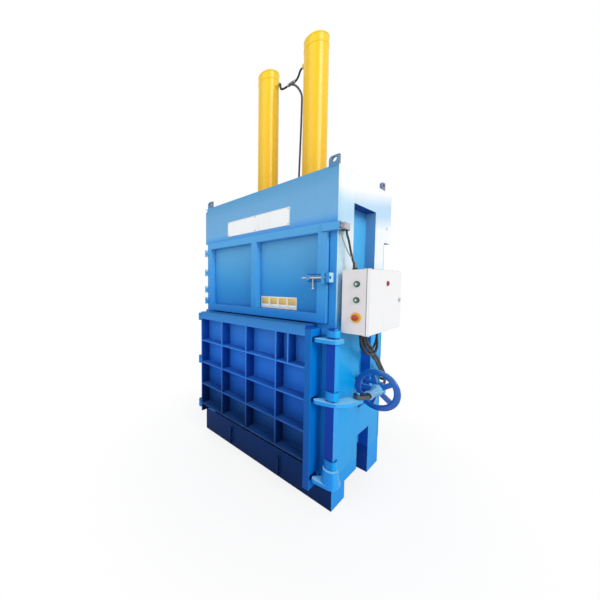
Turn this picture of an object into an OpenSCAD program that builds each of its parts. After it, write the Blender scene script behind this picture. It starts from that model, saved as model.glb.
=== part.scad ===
// Vertical recycling baler with two press cylinders, a feed door over a ribbed main door,
// a claw lock worked by a handwheel, and a control cabinet on its right side.
// Millimetres. Front faces -Y, +X is to the right, +Z up, origin on the floor under the body's centre.

/* [Body] */
// Width over both side walls
body_w = 1500; // [1420:10:1600]
// Depth of the body at the chamber
body_d = 870; // [840:10:940]
// Depth of the upper box, which overhangs at the rear
upper_d = 1020; // [1000:10:1100]
// Height of the body above the floor
body_h = 2480; // [2470:10:2560]
// Thickness of a side wall's inner part
wall_t = 70; // [60:2:80]
// Depth of a side wall's outer frame, which is the depth of its recesses
frame_t = 80; // [60:2:90]
// Height of the chamber floor
floor_z = 240; // [220:5:245]
// Height of the fork gap under the floor
fork_h = 135; // [110:5:150]
// Depth of the front foot beam
foot_d = 205; // [180:5:230]
// Depth of the rear foot beam
rear_foot_d = 235; // [200:5:250]
// Thickness of the chamber's rear wall
rear_t = 40; // [30:2:50]
// Height at which the upper box starts
upper_z = 2030; // [2010:5:2050]
// Spacing of the anchor holes across the feet
anchor_x = 1300; // [1200:10:1400]
// Spacing of the anchor holes from the front foot to the rear foot
anchor_y = 650; // [600:10:680]
// Diameter of an anchor hole
anchor_d = 22; // [16:1:26]
// Depth of an anchor hole
anchor_deep = 60; // [40:1:80]

/* [Header] */
// Height of the header plate's lower edge
header_z = 2095; // [2090:1:2110]
// Thickness of the header plate
header_t = 20; // [15:1:25]
// Chamfer at the header plate's upper left corner
header_cut = 45; // [20:5:60]
// Width of a lifting lug
lug_w = 75; // [65:1:90]
// Height of a lifting lug
lug_h = 66; // [55:1:75]
// Diameter of a lifting lug's hole
lug_hole = 34; // [24:1:36]

/* [Side recesses] */
// Depth along Y at which the lower and middle recesses start
recess_y = 412; // [400:1:430]
// Width of the lower and middle recesses
recess_w = 226; // [200:1:240]
// Upper edge of the lower recess
low_recess_top = 420; // [380:5:450]
// Lower edge of the middle recess
mid_recess_z = 650; // [600:10:700]
// Upper edge of the middle recess
mid_recess_top = 1335; // [1250:5:1345]
// Depth along Y at which the upper recess starts
top_recess_y = 249; // [230:1:260]
// Width of the upper recess
top_recess_w = 414; // [380:1:430]
// Lower edge of the upper recess
top_recess_z = 1420; // [1400:5:1500]
// Upper edge of the upper recess
top_recess_top = 2262; // [2200:1:2300]

/* [Feed door] */
// Left end of the feed door, from the body's centre
feed_left = 678; // [670:1:680]
// Right end of the feed door, from the body's centre
feed_right = 690; // [680:1:694]
// Lower edge of the feed door
feed_z = 1380; // [1375:1:1385]
// Height of the feed door
feed_h = 712; // [700:1:713]
// How far the feed door stands out in front of the body
feed_out = 30; // [20:1:36]
// How far the feed door reaches into its rebate
feed_in = 35; // [25:1:40]
// Width of the feed door's left stile
left_stile_w = 54; // [40:1:60]
// Width of the feed door's right stile
right_stile_w = 70; // [60:1:80]
// Width of the feed door's middle stile
mid_stile_w = 60; // [40:1:80]
// Height of the feed door's top rail
top_rail = 62; // [50:1:70]
// Height of the feed door's bottom rail
bottom_rail = 67; // [55:1:80]
// Thickness of the feed door's sheet
sheet_t = 4; // [3:0.5:6]
// Radius of a feed door hinge knuckle
feed_knuckle_r = 11; // [10:0.5:11.5]

/* [Latch] */
// Diameter of the latch bolt
bolt_d = 20; // [16:1:22]
// Length of the latch bolt
bolt_len = 186; // [170:1:188]
// Height of the latch bolt
bolt_z = 1706; // [1650:1:1750]
// Length of the latch handle
handle_len = 78; // [60:1:90]

/* [Main door] */
// Left end of the main door, from the body's centre
door_left = 640; // [635:1:645]
// Right end of the main door, from the body's centre
door_right = 650; // [640:1:652]
// Lower edge of the main door
door_z = 295; // [280:5:300]
// Upper edge of the main door
door_top = 1368; // [1360:1:1370]
// How far the ribs stand out in front of the body
rib_out = 150; // [140:1:155]
// Depth of the ribs
rib_deep = 105; // [95:1:110]
// Thickness of a rib
rib_t = 12; // [10:1:16]
// Height of the door's top beam
beam_h = 75; // [60:1:85]
// Width of the first bay beside the hinges
first_bay = 338; // [325:1:345]
// Width of the other bays
bay_w = 325; // [310:1:330]
// Height of the first rib under the top beam
rib_top_z = 1070; // [1060:1:1080]
// Spacing of the ribs
rib_pitch = 233; // [220:1:238]
// Height of the lowest rib
rib_low_z = 385; // [370:1:395]
// Place of the short upper rib in the last bay
short_rib = 107; // [95:1:120]
// Thickness of the main door's plate
door_plate_t = 20; // [15:1:25]
// Width of the lock post
post_w = 45; // [40:1:55]
// How far the lock post stands out in front of the body
post_out = 150; // [140:1:155]
// Lower end of the lock post
post_z = 178; // [170:1:240]
// Upper end of the lock post
post_top = 1343; // [1330:1:1350]
// Distance from the door's left end to the hinge axis
hinge_side = 50; // [46:1:54]
// Distance of the hinge axis in front of the body
hinge_out = 110; // [105:1:115]
// Radius of a main door hinge lug
hinge_r = 31; // [28:1:32]
// Diameter of a main door hinge pin
hinge_pin_d = 26; // [22:1:30]
// Height of a main door hinge
hinge_h = 76; // [70:1:84]

/* [Lock] */
// Distance of the lock shaft outside the right wall
shaft_side = 14; // [12:1:20]
// Distance of the lock shaft in front of the body
shaft_out = 54; // [52:1:60]
// Width of the square lock shaft
shaft_w = 63; // [60:1:66]
// Diameter of the lock shaft's journals
journal_d = 60; // [56:1:60]
// Diameter of a shaft bearing
bearing_d = 88; // [80:1:96]
// Thickness of a claw plate
claw_t = 25; // [20:1:30]
// Radius of a claw plate behind the shaft
claw_core_r = 52; // [48:1:52]
// Radius of a claw's tip
claw_tip_r = 25; // [20:1:26]
// Distance from the shaft to the centre of a claw's tip
claw_reach = 97; // [90:1:97]
// Direction of a claw's tip, in degrees from +X
claw_angle = 217; // [216.8:0.1:225]
// Height of the lowest claw's upper face
claw_low_z = 275; // [265:1:280]
// Height of the middle claw's upper face
claw_mid_z = 850; // [840:1:860]
// Height of the top claw's upper face
claw_top_z = 1285; // [1270:1:1288]

/* [Handwheel] */
// Diameter of the handwheel
wheel_d = 310; // [290:2:312]
// Width of the handwheel's flat rim
rim_w = 44; // [36:1:50]
// Thickness of the handwheel's rim
rim_t = 24; // [18:1:28]
// Number of spokes
spokes = 5; // [4:1:6]
// Distance of the screw outside the right wall
screw_side = 160; // [159:1:166]
// Height of the screw above the middle claw
screw_up = 18; // [17:1:22]
// Diameter of the clamp screw
screw_d = 24; // [20:1:28]
// Distance from the screw sideways to the pin in its eye
eye_side = 42; // [38:1:46]
// Distance of the tail pin behind the body's front
tail_y = 122; // [115:1:130]
// Distance of the swivel block behind the body's front
swivel_y = 395; // [390:1:405]

/* [Cabinet] */
// Gap between the cabinet and the right wall
cabinet_gap = 37; // [20:1:45]
// Depth of the cabinet, out from the wall
cabinet_x = 178; // [160:1:200]
// Width of the cabinet along the wall
cabinet_y = 605; // [560:5:620]
// Height of the cabinet
cabinet_z = 432; // [420:1:445]
// Distance of the cabinet behind the body's front
cabinet_start = 10; // [5:1:30]
// Height of the cabinet's lower face
cabinet_low = 1325; // [1315:1:1330]
// Thickness of the cabinet's sheet
cabinet_t = 3; // [2:0.5:4]

/* [Cylinders] */
// Distance of each cylinder from the body's centre
cyl_x = 275; // [260:1:290]
// Distance of the cylinders behind the body's front
cyl_y = 480; // [470:1:490]
// Outer diameter of a cylinder
cyl_d = 216; // [210:1:220]
// Bore of a cylinder
cyl_bore = 180; // [170:1:184]
// Length of a cylinder
cyl_len = 1450; // [1440:5:1500]
// Diameter of a piston rod
rod_d = 120; // [110:1:130]
// Diameter of a cylinder's flange
flange_d = 330; // [320:1:350]
// Travel of the ram
stroke = 1250; // [1200:5:1250]

/* [Platen] */
// Height of the platen's lower face at rest
platen_z = 2110; // [2108:1:2115]
// Height of the platen
platen_h = 120; // [110:1:130]
// Gap round the platen
platen_gap = 15; // [10:1:20]

/* [Hidden] */
$fn = 48;
eps = 1;

// Running clearance on the radius of a pin or journal
run_gap = 0.08;
// Clearance between parts that pass each other
pass_gap = 4;

hw = body_w / 2;
inner = hw - wall_t - frame_t;
rear_foot_y = body_d - rear_foot_d;
chamber_back = body_d - rear_t;
recess_back = recess_y + recess_w;

blue = "#2a7fd4";
deep_blue = "#1f5fb8";
pale_blue = "#6aa6dc";
steel = "#b8bcc0";
dark = "#26282c";
yellow = "#f8c62c";
light_grey = "#dedcd8";

// A box between two corners
module block(x0, y0, z0, x1, y1, z1) {
    translate([x0, y0, z0])
        cube([x1 - x0, y1 - y0, z1 - z0]);
}

// A cylinder along Z, from a to b
module post(x, y, a, b, d) {
    translate([x, y, a])
        cylinder(d = d, h = b - a);
}

// A cylinder along Y, from a to b
module bar_y(x, z, a, b, d) {
    translate([x, a, z])
        rotate([-90, 0, 0])
            cylinder(d = d, h = b - a);
}

// A cylinder along X, from a to b
module bar_x(y, z, a, b, d) {
    translate([a, y, z])
        rotate([0, 90, 0])
            cylinder(d = d, h = b - a);
}

// A plate outline given in X and Z, from depth a to depth b
module plate_xz(points, a, b) {
    translate([0, b, 0])
        rotate([90, 0, 0])
            linear_extrude(b - a)
                polygon(points);
}

// Corners of the straight part between two round ends of radii r1 at the origin and r2 at distance d
function taper_points(r1, r2, d, angle) =
    let (tilt = acos((r1 - r2) / d), c = cos(angle), s = sin(angle))
    [for (p = [[r1 * cos(tilt), r1 * sin(tilt)], [d + r2 * cos(tilt), r2 * sin(tilt)],
               [d + r2 * cos(tilt), -r2 * sin(tilt)], [r1 * cos(tilt), -r1 * sin(tilt)]])
        [p[0] * c - p[1] * s, p[0] * s + p[1] * c]];

// A flat strap between two round ends, each given as [x, y, radius]
module strap(a, b, t) {
    d = norm([b[0] - a[0], b[1] - a[1]]);
    angle = atan2(b[1] - a[1], b[0] - a[0]);
    translate([a[0], a[1], 0])
        cylinder(r = a[2], h = t);
    translate([b[0], b[1], 0])
        cylinder(r = b[2], h = t);
    translate([a[0], a[1], 0])
        linear_extrude(t)
            polygon(taper_points(a[2], b[2], d, angle));
}

// A point on the smooth curve through the route's points
function spline(p, i, t) =
    let (last = len(p) - 1, a = p[max(i - 1, 0)], b = p[i], c = p[i + 1], d = p[min(i + 2, last)])
    0.5 * ((2 * b) + (c - a) * t + (2 * a - 5 * b + 4 * c - d) * t * t + (3 * b - a - 3 * c + d) * t * t * t);

// The route resampled with a number of steps between its points
function route(p, steps) =
    [for (i = [0 : len(p) - 2], k = [0 : steps - 1]) spline(p, i, k / steps), p[len(p) - 1]];

function unit(v) = v / norm(v);

// The direction of the path at one of its points
function heading(path, i) = unit(path[min(i + 1, len(path) - 1)] - path[max(i - 1, 0)]);

// Side vectors carried along the path without twist
function sides(path, i = 0, v = undef) =
    let (h = heading(path, i),
         start = abs(h[2]) > 0.9 ? [1, 0, 0] : [0, 0, 1],
         w = is_undef(v) ? start : v,
         s = unit(w - (w * h) * h))
    i == len(path) - 1 ? [s] : concat([s], sides(path, i + 1, s));

// A round tube swept along a route
module cord(points, d, steps = 4, n = 8) {
    path = route(points, steps);
    side = sides(path);
    rings = [for (i = [0 : len(path) - 1], k = [0 : n - 1])
        let (h = heading(path, i), a = 360 * k / n)
        path[i] + d / 2 * (cos(a) * side[i] + sin(a) * cross(h, side[i]))];
    last = (len(path) - 1) * n;
    faces = concat(
        [[for (k = [0 : n - 1]) k]],
        [for (i = [0 : len(path) - 2], k = [0 : n - 1])
            let (a = i * n + k, b = i * n + (k + 1) % n)
            [a, a + n, b + n, b]],
        [[for (k = [n - 1 : -1 : 0]) last + k]]);
    polyhedron(rings, faces);
}

// Base and walls

module base_frame() {
    color(deep_blue)
        difference() {
            union() {
                block(-hw, 0, 0, hw, foot_d, floor_z);
                block(-hw, rear_foot_y, 0, hw, body_d, floor_z);
                block(-hw, foot_d, fork_h, hw, rear_foot_y, floor_z);
                for (x = [-330, 272])
                    block(x, -skid_out, skid_z, x + skid_t, 0, skid_top);
            }
            for (side = [-1, 1]) {
                block(side > 0 ? hw - frame_t : -hw - eps, recess_y, fork_h - eps,
                      side > 0 ? hw + eps : -hw + frame_t, recess_back, floor_z + eps);
                for (end = [-1, 1])
                    post(side * anchor_x / 2, body_d / 2 + end * anchor_y / 2, -eps, anchor_deep, anchor_d);
            }
        }
}
skid_out = 26;
skid_t = 14;
skid_z = 25;
skid_top = 190;
rebate_back = feed_in + sheet_t + pass_gap;
rebate_right = feed_right + pass_gap + 3;
rebate_z = feed_z - pass_gap;

// A wall on the right side, with its rebate for the feed door as wide as given
module side_wall(rebate_x) {
    difference() {
        union() {
            block(inner, 0, floor_z, hw, body_d, body_h);
            block(inner, body_d - eps, upper_z, hw, upper_d, body_h);
        }
        block(hw - frame_t, recess_y, floor_z - eps, hw + eps, recess_back, low_recess_top);
        block(hw - frame_t, recess_y, mid_recess_z, hw + eps, recess_back, mid_recess_top);
        block(hw - frame_t, top_recess_y, top_recess_z, hw + eps, top_recess_y + top_recess_w, top_recess_top);
        block(inner - eps, -eps, header_z, hw + eps, header_t, body_h + eps);
        block(inner - eps, -eps, rebate_z, rebate_x, rebate_back, header_z + eps);
    }
}

plug_y = upper_d - 90;
plug_z = 2161;
module right_wall() {
    color(blue)
        union() {
            side_wall(rebate_right);
            bar_x(plug_y, plug_z, hw - eps, hw + 4, 22);
        }
}

module left_wall() {
    color(blue)
        mirror([1, 0, 0])
            side_wall(hw + eps);
}

module rear_wall() {
    color(blue)
        block(-inner, chamber_back, floor_z, inner, body_d, deck_z);
}

module header_plate() {
    color(pale_blue)
        plate_xz([[-hw, header_z], [hw, header_z], [hw, body_h], [-hw + header_cut, body_h],
                  [-hw, body_h - header_cut]], 0, header_t);
}

// Flat bar that the feed door closes against, between the two doors
sill_t = 26;
sill_z = 1330;
sill_top = 1400;
module front_sill() {
    color(deep_blue)
        block(-inner, rebate_back, sill_z, inner, rebate_back + sill_t, sill_top);
}

// Box beam that carries the cylinders
crosshead_z = 2300;
crosshead_top = 2400;
crosshead_hd = 250;
crosshead_plate = 25;
gland_d = 190;
module crosshead() {
    y0 = cyl_y - crosshead_hd;
    y1 = cyl_y + crosshead_hd;
    color(blue)
        difference() {
            block(-inner, y0, crosshead_z, inner, y1, crosshead_top);
            block(-inner - eps, y0 + crosshead_plate, crosshead_z + crosshead_plate,
                  inner + eps, y1 - crosshead_plate, crosshead_top - crosshead_plate);
            for (x = [-cyl_x, cyl_x])
                post(x, cyl_y, crosshead_z - eps, crosshead_top + eps, gland_d + 1);
        }
}

// Deck behind the crosshead, for the power unit
deck_z = 2240;
deck_t = 12;
deck_y = 740;
module power_deck() {
    color(deep_blue)
        block(-inner, deck_y, deck_z, inner, upper_d - panel_t, deck_z + deck_t);
}

panel_t = 12;
module rear_panel() {
    color(blue) {
        block(-inner, upper_d - panel_t, upper_z, inner, upper_d, body_h);
        block(-inner, body_d, upper_z, inner, upper_d - panel_t, upper_z + panel_t);
    }
}

// One lug: a plate with one rounded upper corner and a hole, in X and Z
lug_t = 20;
lug_round = 26;
module lug() {
    difference() {
        union() {
            block(0, 0, 0, lug_w, lug_t, lug_h - lug_round);
            block(lug_round, 0, 0, lug_w, lug_t, lug_h);
            bar_y(lug_round, lug_h - lug_round, 0, lug_t, 2 * lug_round);
        }
        bar_y(lug_w * 0.52, lug_h * 0.61, -eps, lug_t + eps, lug_hole);
    }
}

rear_lug_y = 780;
module lifting_lugs() {
    color(pale_blue) {
        translate([hw - lug_w, 0, body_h])
            lug();
        translate([-hw + header_cut - 8, 0, body_h])
            lug();
        for (x = [hw, -hw + lug_t])
            translate([x, rear_lug_y, body_h])
                rotate([0, 0, 90])
                    lug();
    }
}

// Blank plates, where a maker would put a name

name_plate_w = 740;
name_plate_h = 146;
name_plate_t = 3;
name_plate_x = -12;
name_plate_z = 2203;
module header_name_plate() {
    color("#f4f4f2")
        block(name_plate_x - name_plate_w / 2, -name_plate_t, name_plate_z - name_plate_h / 2,
              name_plate_x + name_plate_w / 2, 0, name_plate_z + name_plate_h / 2);
}

door_label_x = 30;
door_label_w = 372;
door_label_h = 100;
door_label_t = 2;
module door_name_plate() {
    z0 = feed_z + bottom_rail + 4;
    color("#f2ecd8")
        block(mid_stile_w / 2 + 8, feed_in - door_label_t, z0,
              mid_stile_w / 2 + 8 + door_label_w, feed_in, z0 + door_label_h);
}

// Shaft of the lock and its bearings

shaft_x = hw + shaft_side;
shaft_y = -shaft_out;
low_bearing = [claw_low_z + 98, claw_low_z + 158];
mid_bearing = [claw_mid_z + 12, claw_mid_z + 70];
top_bearing = [claw_top_z + 15, claw_top_z + 60];
bearings = [low_bearing, mid_bearing, top_bearing];
bearing_block_x = door_right + 12;
bearing_block_d = 30;

module lock_bearings() {
    color(blue)
        for (b = bearings)
            difference() {
                union() {
                    post(shaft_x, shaft_y, b[0], b[1], bearing_d);
                    block(b == top_bearing ? bearing_block_x : shaft_x - bearing_d / 2,
                          b == top_bearing ? -bearing_block_d : shaft_y, b[0], hw, 0, b[1]);
                    block(shaft_x - bearing_d / 2, shaft_y, b[0], hw, 0, b[1]);
                }
                post(shaft_x, shaft_y, b[0] - eps, b[1] + eps, journal_d + 2 * run_gap);
            }
}

module lock_shaft() {
    bottom = claw_low_z - claw_t - 12;
    squares = [[bottom, claw_low_z], [low_bearing[1] + 1, claw_mid_z + 6], [mid_bearing[1] + 1, claw_top_z + 5]];
    color(deep_blue)
        union() {
            for (s = squares)
                block(shaft_x - shaft_w / 2, shaft_y - shaft_w / 2, s[0],
                      shaft_x + shaft_w / 2, shaft_y + shaft_w / 2, s[1]);
            post(shaft_x, shaft_y, bottom + 5, top_bearing[1] + 12, journal_d);
        }
}

// A claw plate on the square shaft: its tip, its front as given and its round back, with more plates as children
claw_front = [6, -18, 55];
claw_back = [19, 22, 43];
claw_tip = [claw_reach * cos(claw_angle), claw_reach * sin(claw_angle), claw_tip_r];
module claw(z, front) {
    translate([shaft_x, shaft_y, z - claw_t])
        difference() {
            union() {
                strap([0, 0, claw_core_r], claw_tip, claw_t);
                strap(claw_tip, front, claw_t);
                strap(front, claw_back, claw_t);
                children();
            }
            translate([-shaft_w / 2, -shaft_w / 2, -eps])
                cube([shaft_w, shaft_w, claw_t + 2 * eps]);
        }
}

module top_claw() {
    color(blue)
        claw(claw_top_z, claw_front);
}

// The lowest claw carries a tapered collar that reaches up to its bearing
collar_top_r = 50;
collar_low_r = 60;
collar_shift = [6, -12];
module bottom_claw() {
    color(blue)
        difference() {
            union() {
                claw(claw_low_z, claw_front);
                translate([shaft_x + collar_shift[0], shaft_y + collar_shift[1], claw_low_z])
                    cylinder(r1 = collar_low_r, r2 = collar_top_r, h = low_bearing[0] - claw_low_z - 3);
            }
            post(shaft_x, shaft_y, claw_low_z - eps, low_bearing[0], journal_d + 0.6);
        }
}

// The middle claw has a broad tail that reaches round the wall's corner to the screw's eye
screw_x = hw + screw_side;
screw_z = claw_mid_z + screw_up;
pin_x = screw_x - eye_side;
tail_front = [13, -4, 46];
tail_bend = [61, 64, 45];
tail_end = [pin_x - shaft_x - 8, tail_y - shaft_y + 6, 38];
module middle_claw() {
    color(blue)
        union() {
            claw(claw_mid_z, tail_front) {
                strap(tail_front, tail_bend, claw_t);
                strap([0, 0, claw_core_r], tail_front, claw_t);
                strap(tail_bend, tail_end, claw_t);
            }
            post(pin_x, tail_y, claw_mid_z - claw_t + 2, screw_z + eye_t / 2 + 8, tail_pin_d);
        }
}

// Screw of the lock: its eye sits round the pin on the middle claw's tail, beside the screw's axis

eye_t = 26;
eye_d = 64;
eye_hole = 46;
tail_pin_d = 22;
arm_w = 44;
screw_end = swivel_y + 30;
module clamp_screw() {
    color(steel)
        difference() {
            union() {
                translate([0, 0, screw_z - eye_t / 2])
                    strap([pin_x, tail_y, eye_d / 2], [screw_x - 2, hub_start - 26, arm_w / 2], eye_t);
                bar_y(screw_x, screw_z, hub_start - 26, screw_end, screw_d);
            }
            post(pin_x, tail_y, screw_z - eye_t, screw_z + eye_t, eye_hole);
        }
}

wheel_y = 348;
hub_d = 58;
hub_start = 188;
collar_d = 64;
swivel_w = 74;
swivel_d = 44;
swivel_h = 60;
hub_journal_d = 40;
bush_seat = 0.3;
spoke_w = 36;
spoke_t = 16;
spoke_turn = 107;
boss_d = 84;

// The wheel with its long hub, and behind it the bush that turns in the swivel block
module handwheel() {
    inner_r = wheel_d / 2 - rim_w;
    half = rim_t / 2;
    block_front = swivel_y - swivel_d / 2;
    color(deep_blue)
        difference() {
            union() {
                translate([screw_x, wheel_y, screw_z])
                    rotate([-90, 0, 0]) {
                        rotate_extrude($fn = 96) {
                            translate([inner_r + half, 0])
                                circle(d = rim_t);
                            translate([inner_r + half, -half])
                                square([rim_w - rim_t, rim_t]);
                            translate([wheel_d / 2 - half, 0])
                                circle(d = rim_t);
                        }
                        for (k = [0 : spokes - 1])
                            rotate([0, 0, -spoke_turn - 360 * k / spokes])
                                translate([hub_d / 2 - 6, -spoke_w / 2, -spoke_t / 2])
                                    cube([inner_r + half - hub_d / 2 + 6, spoke_w, spoke_t]);
                        translate([0, 0, -half])
                            cylinder(d = boss_d, h = rim_t);
                    }
                bar_y(screw_x, screw_z, hub_start, wheel_y, hub_d);
                bar_y(screw_x, screw_z, hub_start - 1, hub_start + 9, collar_d);
                bar_y(screw_x, screw_z, wheel_y + half + bush_seat, block_front - 1, hub_d);
                bar_y(screw_x, screw_z, block_front - 2, block_front + swivel_d - 6, hub_journal_d);
            }
            bar_y(screw_x, screw_z, hub_start - 20, swivel_y + swivel_d, screw_d + 2 * run_gap);
        }
}

pivot_d = 20;
bracket_t = 14;
module swivel_block() {
    color(deep_blue)
        difference() {
            union() {
                block(screw_x - swivel_w / 2, swivel_y - swivel_d / 2, screw_z - swivel_h / 2,
                      screw_x + swivel_w / 2, swivel_y + swivel_d / 2, screw_z + swivel_h / 2);
                post(screw_x, swivel_y, screw_z - swivel_h / 2 - bracket_t - 3, screw_z - swivel_h / 2 + 1, pivot_d);
                post(screw_x, swivel_y, screw_z + swivel_h / 2 - 1, screw_z + swivel_h / 2 + bracket_t + 3, pivot_d);
            }
            bar_y(screw_x, screw_z, swivel_y - swivel_d, swivel_y + swivel_d / 2 - 5, hub_journal_d + 2 * run_gap);
            bar_y(screw_x, screw_z, swivel_y, swivel_y + swivel_d, screw_d + 2);
        }
}

// Two ears on the right wall that hold the swivel block
module screw_bracket() {
    color(deep_blue)
        for (z = [screw_z - swivel_h / 2 - bracket_t - 1, screw_z + swivel_h / 2 + 1])
            difference() {
                union() {
                    post(screw_x, swivel_y, z, z + bracket_t, 56);
                    block(hw, swivel_y - 28, z, screw_x, swivel_y + 28, z + bracket_t);
                }
                post(screw_x, swivel_y, z - eps, z + bracket_t + eps, pivot_d + 2 * run_gap);
            }
}

// Main door

hinge_x = -door_left - hinge_side;
hinge_y = -hinge_out;
hinge_heights = [358, 843, 1310];
door_lug_h = 36;
hinge_gap = 2;
post_x = door_right - post_w;
rib_back = rib_deep - rib_out;
plate_back = rib_back + door_plate_t;

module main_door_plate() {
    bar = 45;
    color(blue)
        union() {
            block(-door_left, rib_back, door_z, post_x, plate_back, door_top);
            for (x = [-door_left, post_x - bar])
                block(x, plate_back - eps, door_z, x + bar, -pass_gap, door_top);
        }
}

function rib_x(k) = -door_left + first_bay + bay_w * k;

// Clearance between parts that are welded or clipped together
seat = 0.3;
module main_door_ribs() {
    shelves = [rib_top_z, rib_top_z - rib_pitch, rib_top_z - 2 * rib_pitch, rib_low_z];
    ceilings = [door_top - beam_h, rib_top_z - rib_t, rib_top_z - rib_pitch - rib_t,
                rib_top_z - 2 * rib_pitch - rib_t];
    edge = -door_left + rib_t;
    color(blue) {
        block(-door_left, -rib_out, door_z, edge, rib_back, door_top);
        block(edge + seat, -rib_out, door_top - beam_h, post_x, rib_back, door_top);
        for (z = shelves)
            block(edge + seat, -rib_out, z - rib_t, post_x, rib_back, z);
        for (k = [0 : 2], row = [0 : 3])
            block(rib_x(k) - rib_t / 2, -rib_out, shelves[row] + seat,
                  rib_x(k) + rib_t / 2, rib_back, ceilings[row] - seat);
        block(rib_x(2) + short_rib, -rib_out, rib_top_z + seat,
              rib_x(2) + short_rib + rib_t, rib_back, ceilings[0] - seat);
    }
}

claw_room = 5;
rim_raise = 3;
rim_strip = 14;
pocket_deep = 40;
pocket_front = -post_out + 14;
pocket_back = -36;
module lock_post() {
    color(blue)
        difference() {
            union() {
                block(post_x, -post_out, post_z, door_right, -pass_gap, post_top);
                for (y = [-post_out, -pass_gap - rim_strip])
                    block(door_right - 1, y, post_z, door_right + rim_raise, y + rim_strip, post_top);
            }
            for (z = [claw_low_z, claw_mid_z, claw_top_z])
                block(door_right - pocket_deep, pocket_front, z - claw_t - claw_room,
                      door_right + rim_raise + eps, pocket_back, z + claw_room);
        }
}

module main_door_hinges() {
    color(blue)
        for (z = hinge_heights)
            union() {
                post(hinge_x, hinge_y, z - door_lug_h / 2, z + door_lug_h / 2, 2 * hinge_r);
                block(hinge_x, hinge_y - hinge_r, z - door_lug_h / 2, -door_left, hinge_y + hinge_r, z + door_lug_h / 2);
                post(hinge_x, hinge_y, z - hinge_h / 2 - 2, z + hinge_h / 2 + 2, hinge_pin_d);
            }
}

module main_brackets() {
    plate = (hinge_h - door_lug_h) / 2 - hinge_gap;
    color(deep_blue)
        for (z = hinge_heights, s = [0, 1]) {
            z0 = s == 0 ? z - hinge_h / 2 : z + door_lug_h / 2 + hinge_gap;
            difference() {
                union() {
                    post(hinge_x, hinge_y, z0, z0 + plate, 2 * hinge_r);
                    block(hinge_x - hinge_r, hinge_y, z0, hinge_x + hinge_r, 0, z0 + plate);
                }
                post(hinge_x, hinge_y, z0 - eps, z0 + plate + eps, hinge_pin_d + 2 * run_gap);
            }
        }
}

// Feed door

feed_top = feed_z + feed_h;
feed_hinge_x = -feed_left - 13;
feed_hinge_y = -feed_out - 15;
feed_hinges = [1480, 1600, 1780, 1990];
feed_knuckle_h = 34;
feed_pin_d = 12;
latch_plate_t = 6;
latch_plate_x = 546;
guide_w = 24;
guide_h = 40;
end_guide_h = 90;
guide_out = 28;
bolt_y = -feed_out - 14;
bolt_end = feed_right + 6;

module feed_door_frame() {
    color(pale_blue)
        difference() {
            union() {
                difference() {
                    block(-feed_left, -feed_out, feed_z, feed_right, feed_in, feed_top);
                    block(-feed_left + left_stile_w, -feed_out - eps, feed_z + bottom_rail,
                          -mid_stile_w / 2 - 3, feed_in + eps, feed_top - top_rail);
                    block(mid_stile_w / 2 - 3, -feed_out - eps, feed_z + bottom_rail,
                          feed_right - right_stile_w, feed_in + eps, feed_top - top_rail);
                }
                for (z = feed_hinges) {
                    post(feed_hinge_x, feed_hinge_y, z - feed_knuckle_h / 2, z + feed_knuckle_h / 2, 2 * feed_knuckle_r);
                    block(feed_hinge_x, feed_hinge_y - 5, z - feed_knuckle_h / 2,
                          -feed_left + 12, -feed_out, z + feed_knuckle_h / 2);
                    post(feed_hinge_x, feed_hinge_y, z - feed_knuckle_h - 4, z + feed_knuckle_h + 4, feed_pin_d);
                }
                block(latch_plate_x, -feed_out, bolt_z - 26, feed_right, -feed_out + latch_plate_t, bolt_z + 26);
                block(latch_plate_x, -feed_out - guide_out, bolt_z - guide_h / 2,
                      latch_plate_x + guide_w, -feed_out, bolt_z + guide_h / 2);
                block(feed_right - guide_w, -feed_out - guide_out, bolt_z - end_guide_h / 2,
                      feed_right, -feed_out, bolt_z + end_guide_h / 2);
            }
            bar_x(bolt_y, bolt_z, latch_plate_x - eps, feed_right + eps, bolt_d + 2 * run_gap);
        }
}

module feed_door_sheet() {
    color(pale_blue)
        block(-feed_left + 2, feed_in, feed_z + 2, feed_right - 2, feed_in + sheet_t, feed_top - 2);
}

module feed_brackets() {
    color(deep_blue)
        for (z = feed_hinges, s = [-1, 1]) {
            z0 = s < 0 ? z - feed_knuckle_h / 2 - 17 : z + feed_knuckle_h / 2 + 1;
            difference() {
                union() {
                    post(feed_hinge_x, feed_hinge_y, z0, z0 + 16, 2 * feed_knuckle_r);
                    block(feed_hinge_x - feed_knuckle_r, feed_hinge_y, z0,
                          feed_hinge_x + feed_knuckle_r, rebate_back, z0 + 16);
                }
                post(feed_hinge_x, feed_hinge_y, z0 - eps, z0 + 16 + eps, feed_pin_d + 2 * run_gap);
            }
        }
}

// Channel on the feed door whose web presses the limit switch
arm_t = 6;
arm_z = 2030;
arm_top = 2085;
arm_start = feed_right - 36;
arm_end = hw + 30;
arm_out = feed_out + 12;
module interlock_arm() {
    color(blue)
        union() {
            block(arm_start, -arm_out, arm_z, feed_right + 2, -feed_out, arm_top);
            block(feed_right, -arm_out, arm_z, arm_end, -arm_out + arm_t, arm_top);
            for (z = [arm_z, arm_top - arm_t])
                block(feed_right + 1, -arm_out, z, arm_end, -pass_gap, z + arm_t);
        }
}

module latch_bolt() {
    color(steel)
        union() {
            bar_x(bolt_y, bolt_z, bolt_end - bolt_len, bolt_end, bolt_d);
            translate([handle_x, bolt_y, bolt_z - handle_len])
                cylinder(d = 12, h = handle_len);
            translate([handle_x, bolt_y, bolt_z - handle_len])
                sphere(d = 20);
        }
}
handle_x = 597;

bolt_travel = 30;
module bolt_keeper() {
    x0 = bolt_end + 6;
    color(deep_blue)
        difference() {
            block(x0, -feed_out - guide_out, bolt_z - 34, x0 + 26, 0, bolt_z + 34);
            bar_x(bolt_y, bolt_z, x0 - eps, x0 + 26 + eps, bolt_d + 3);
        }
}

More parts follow.
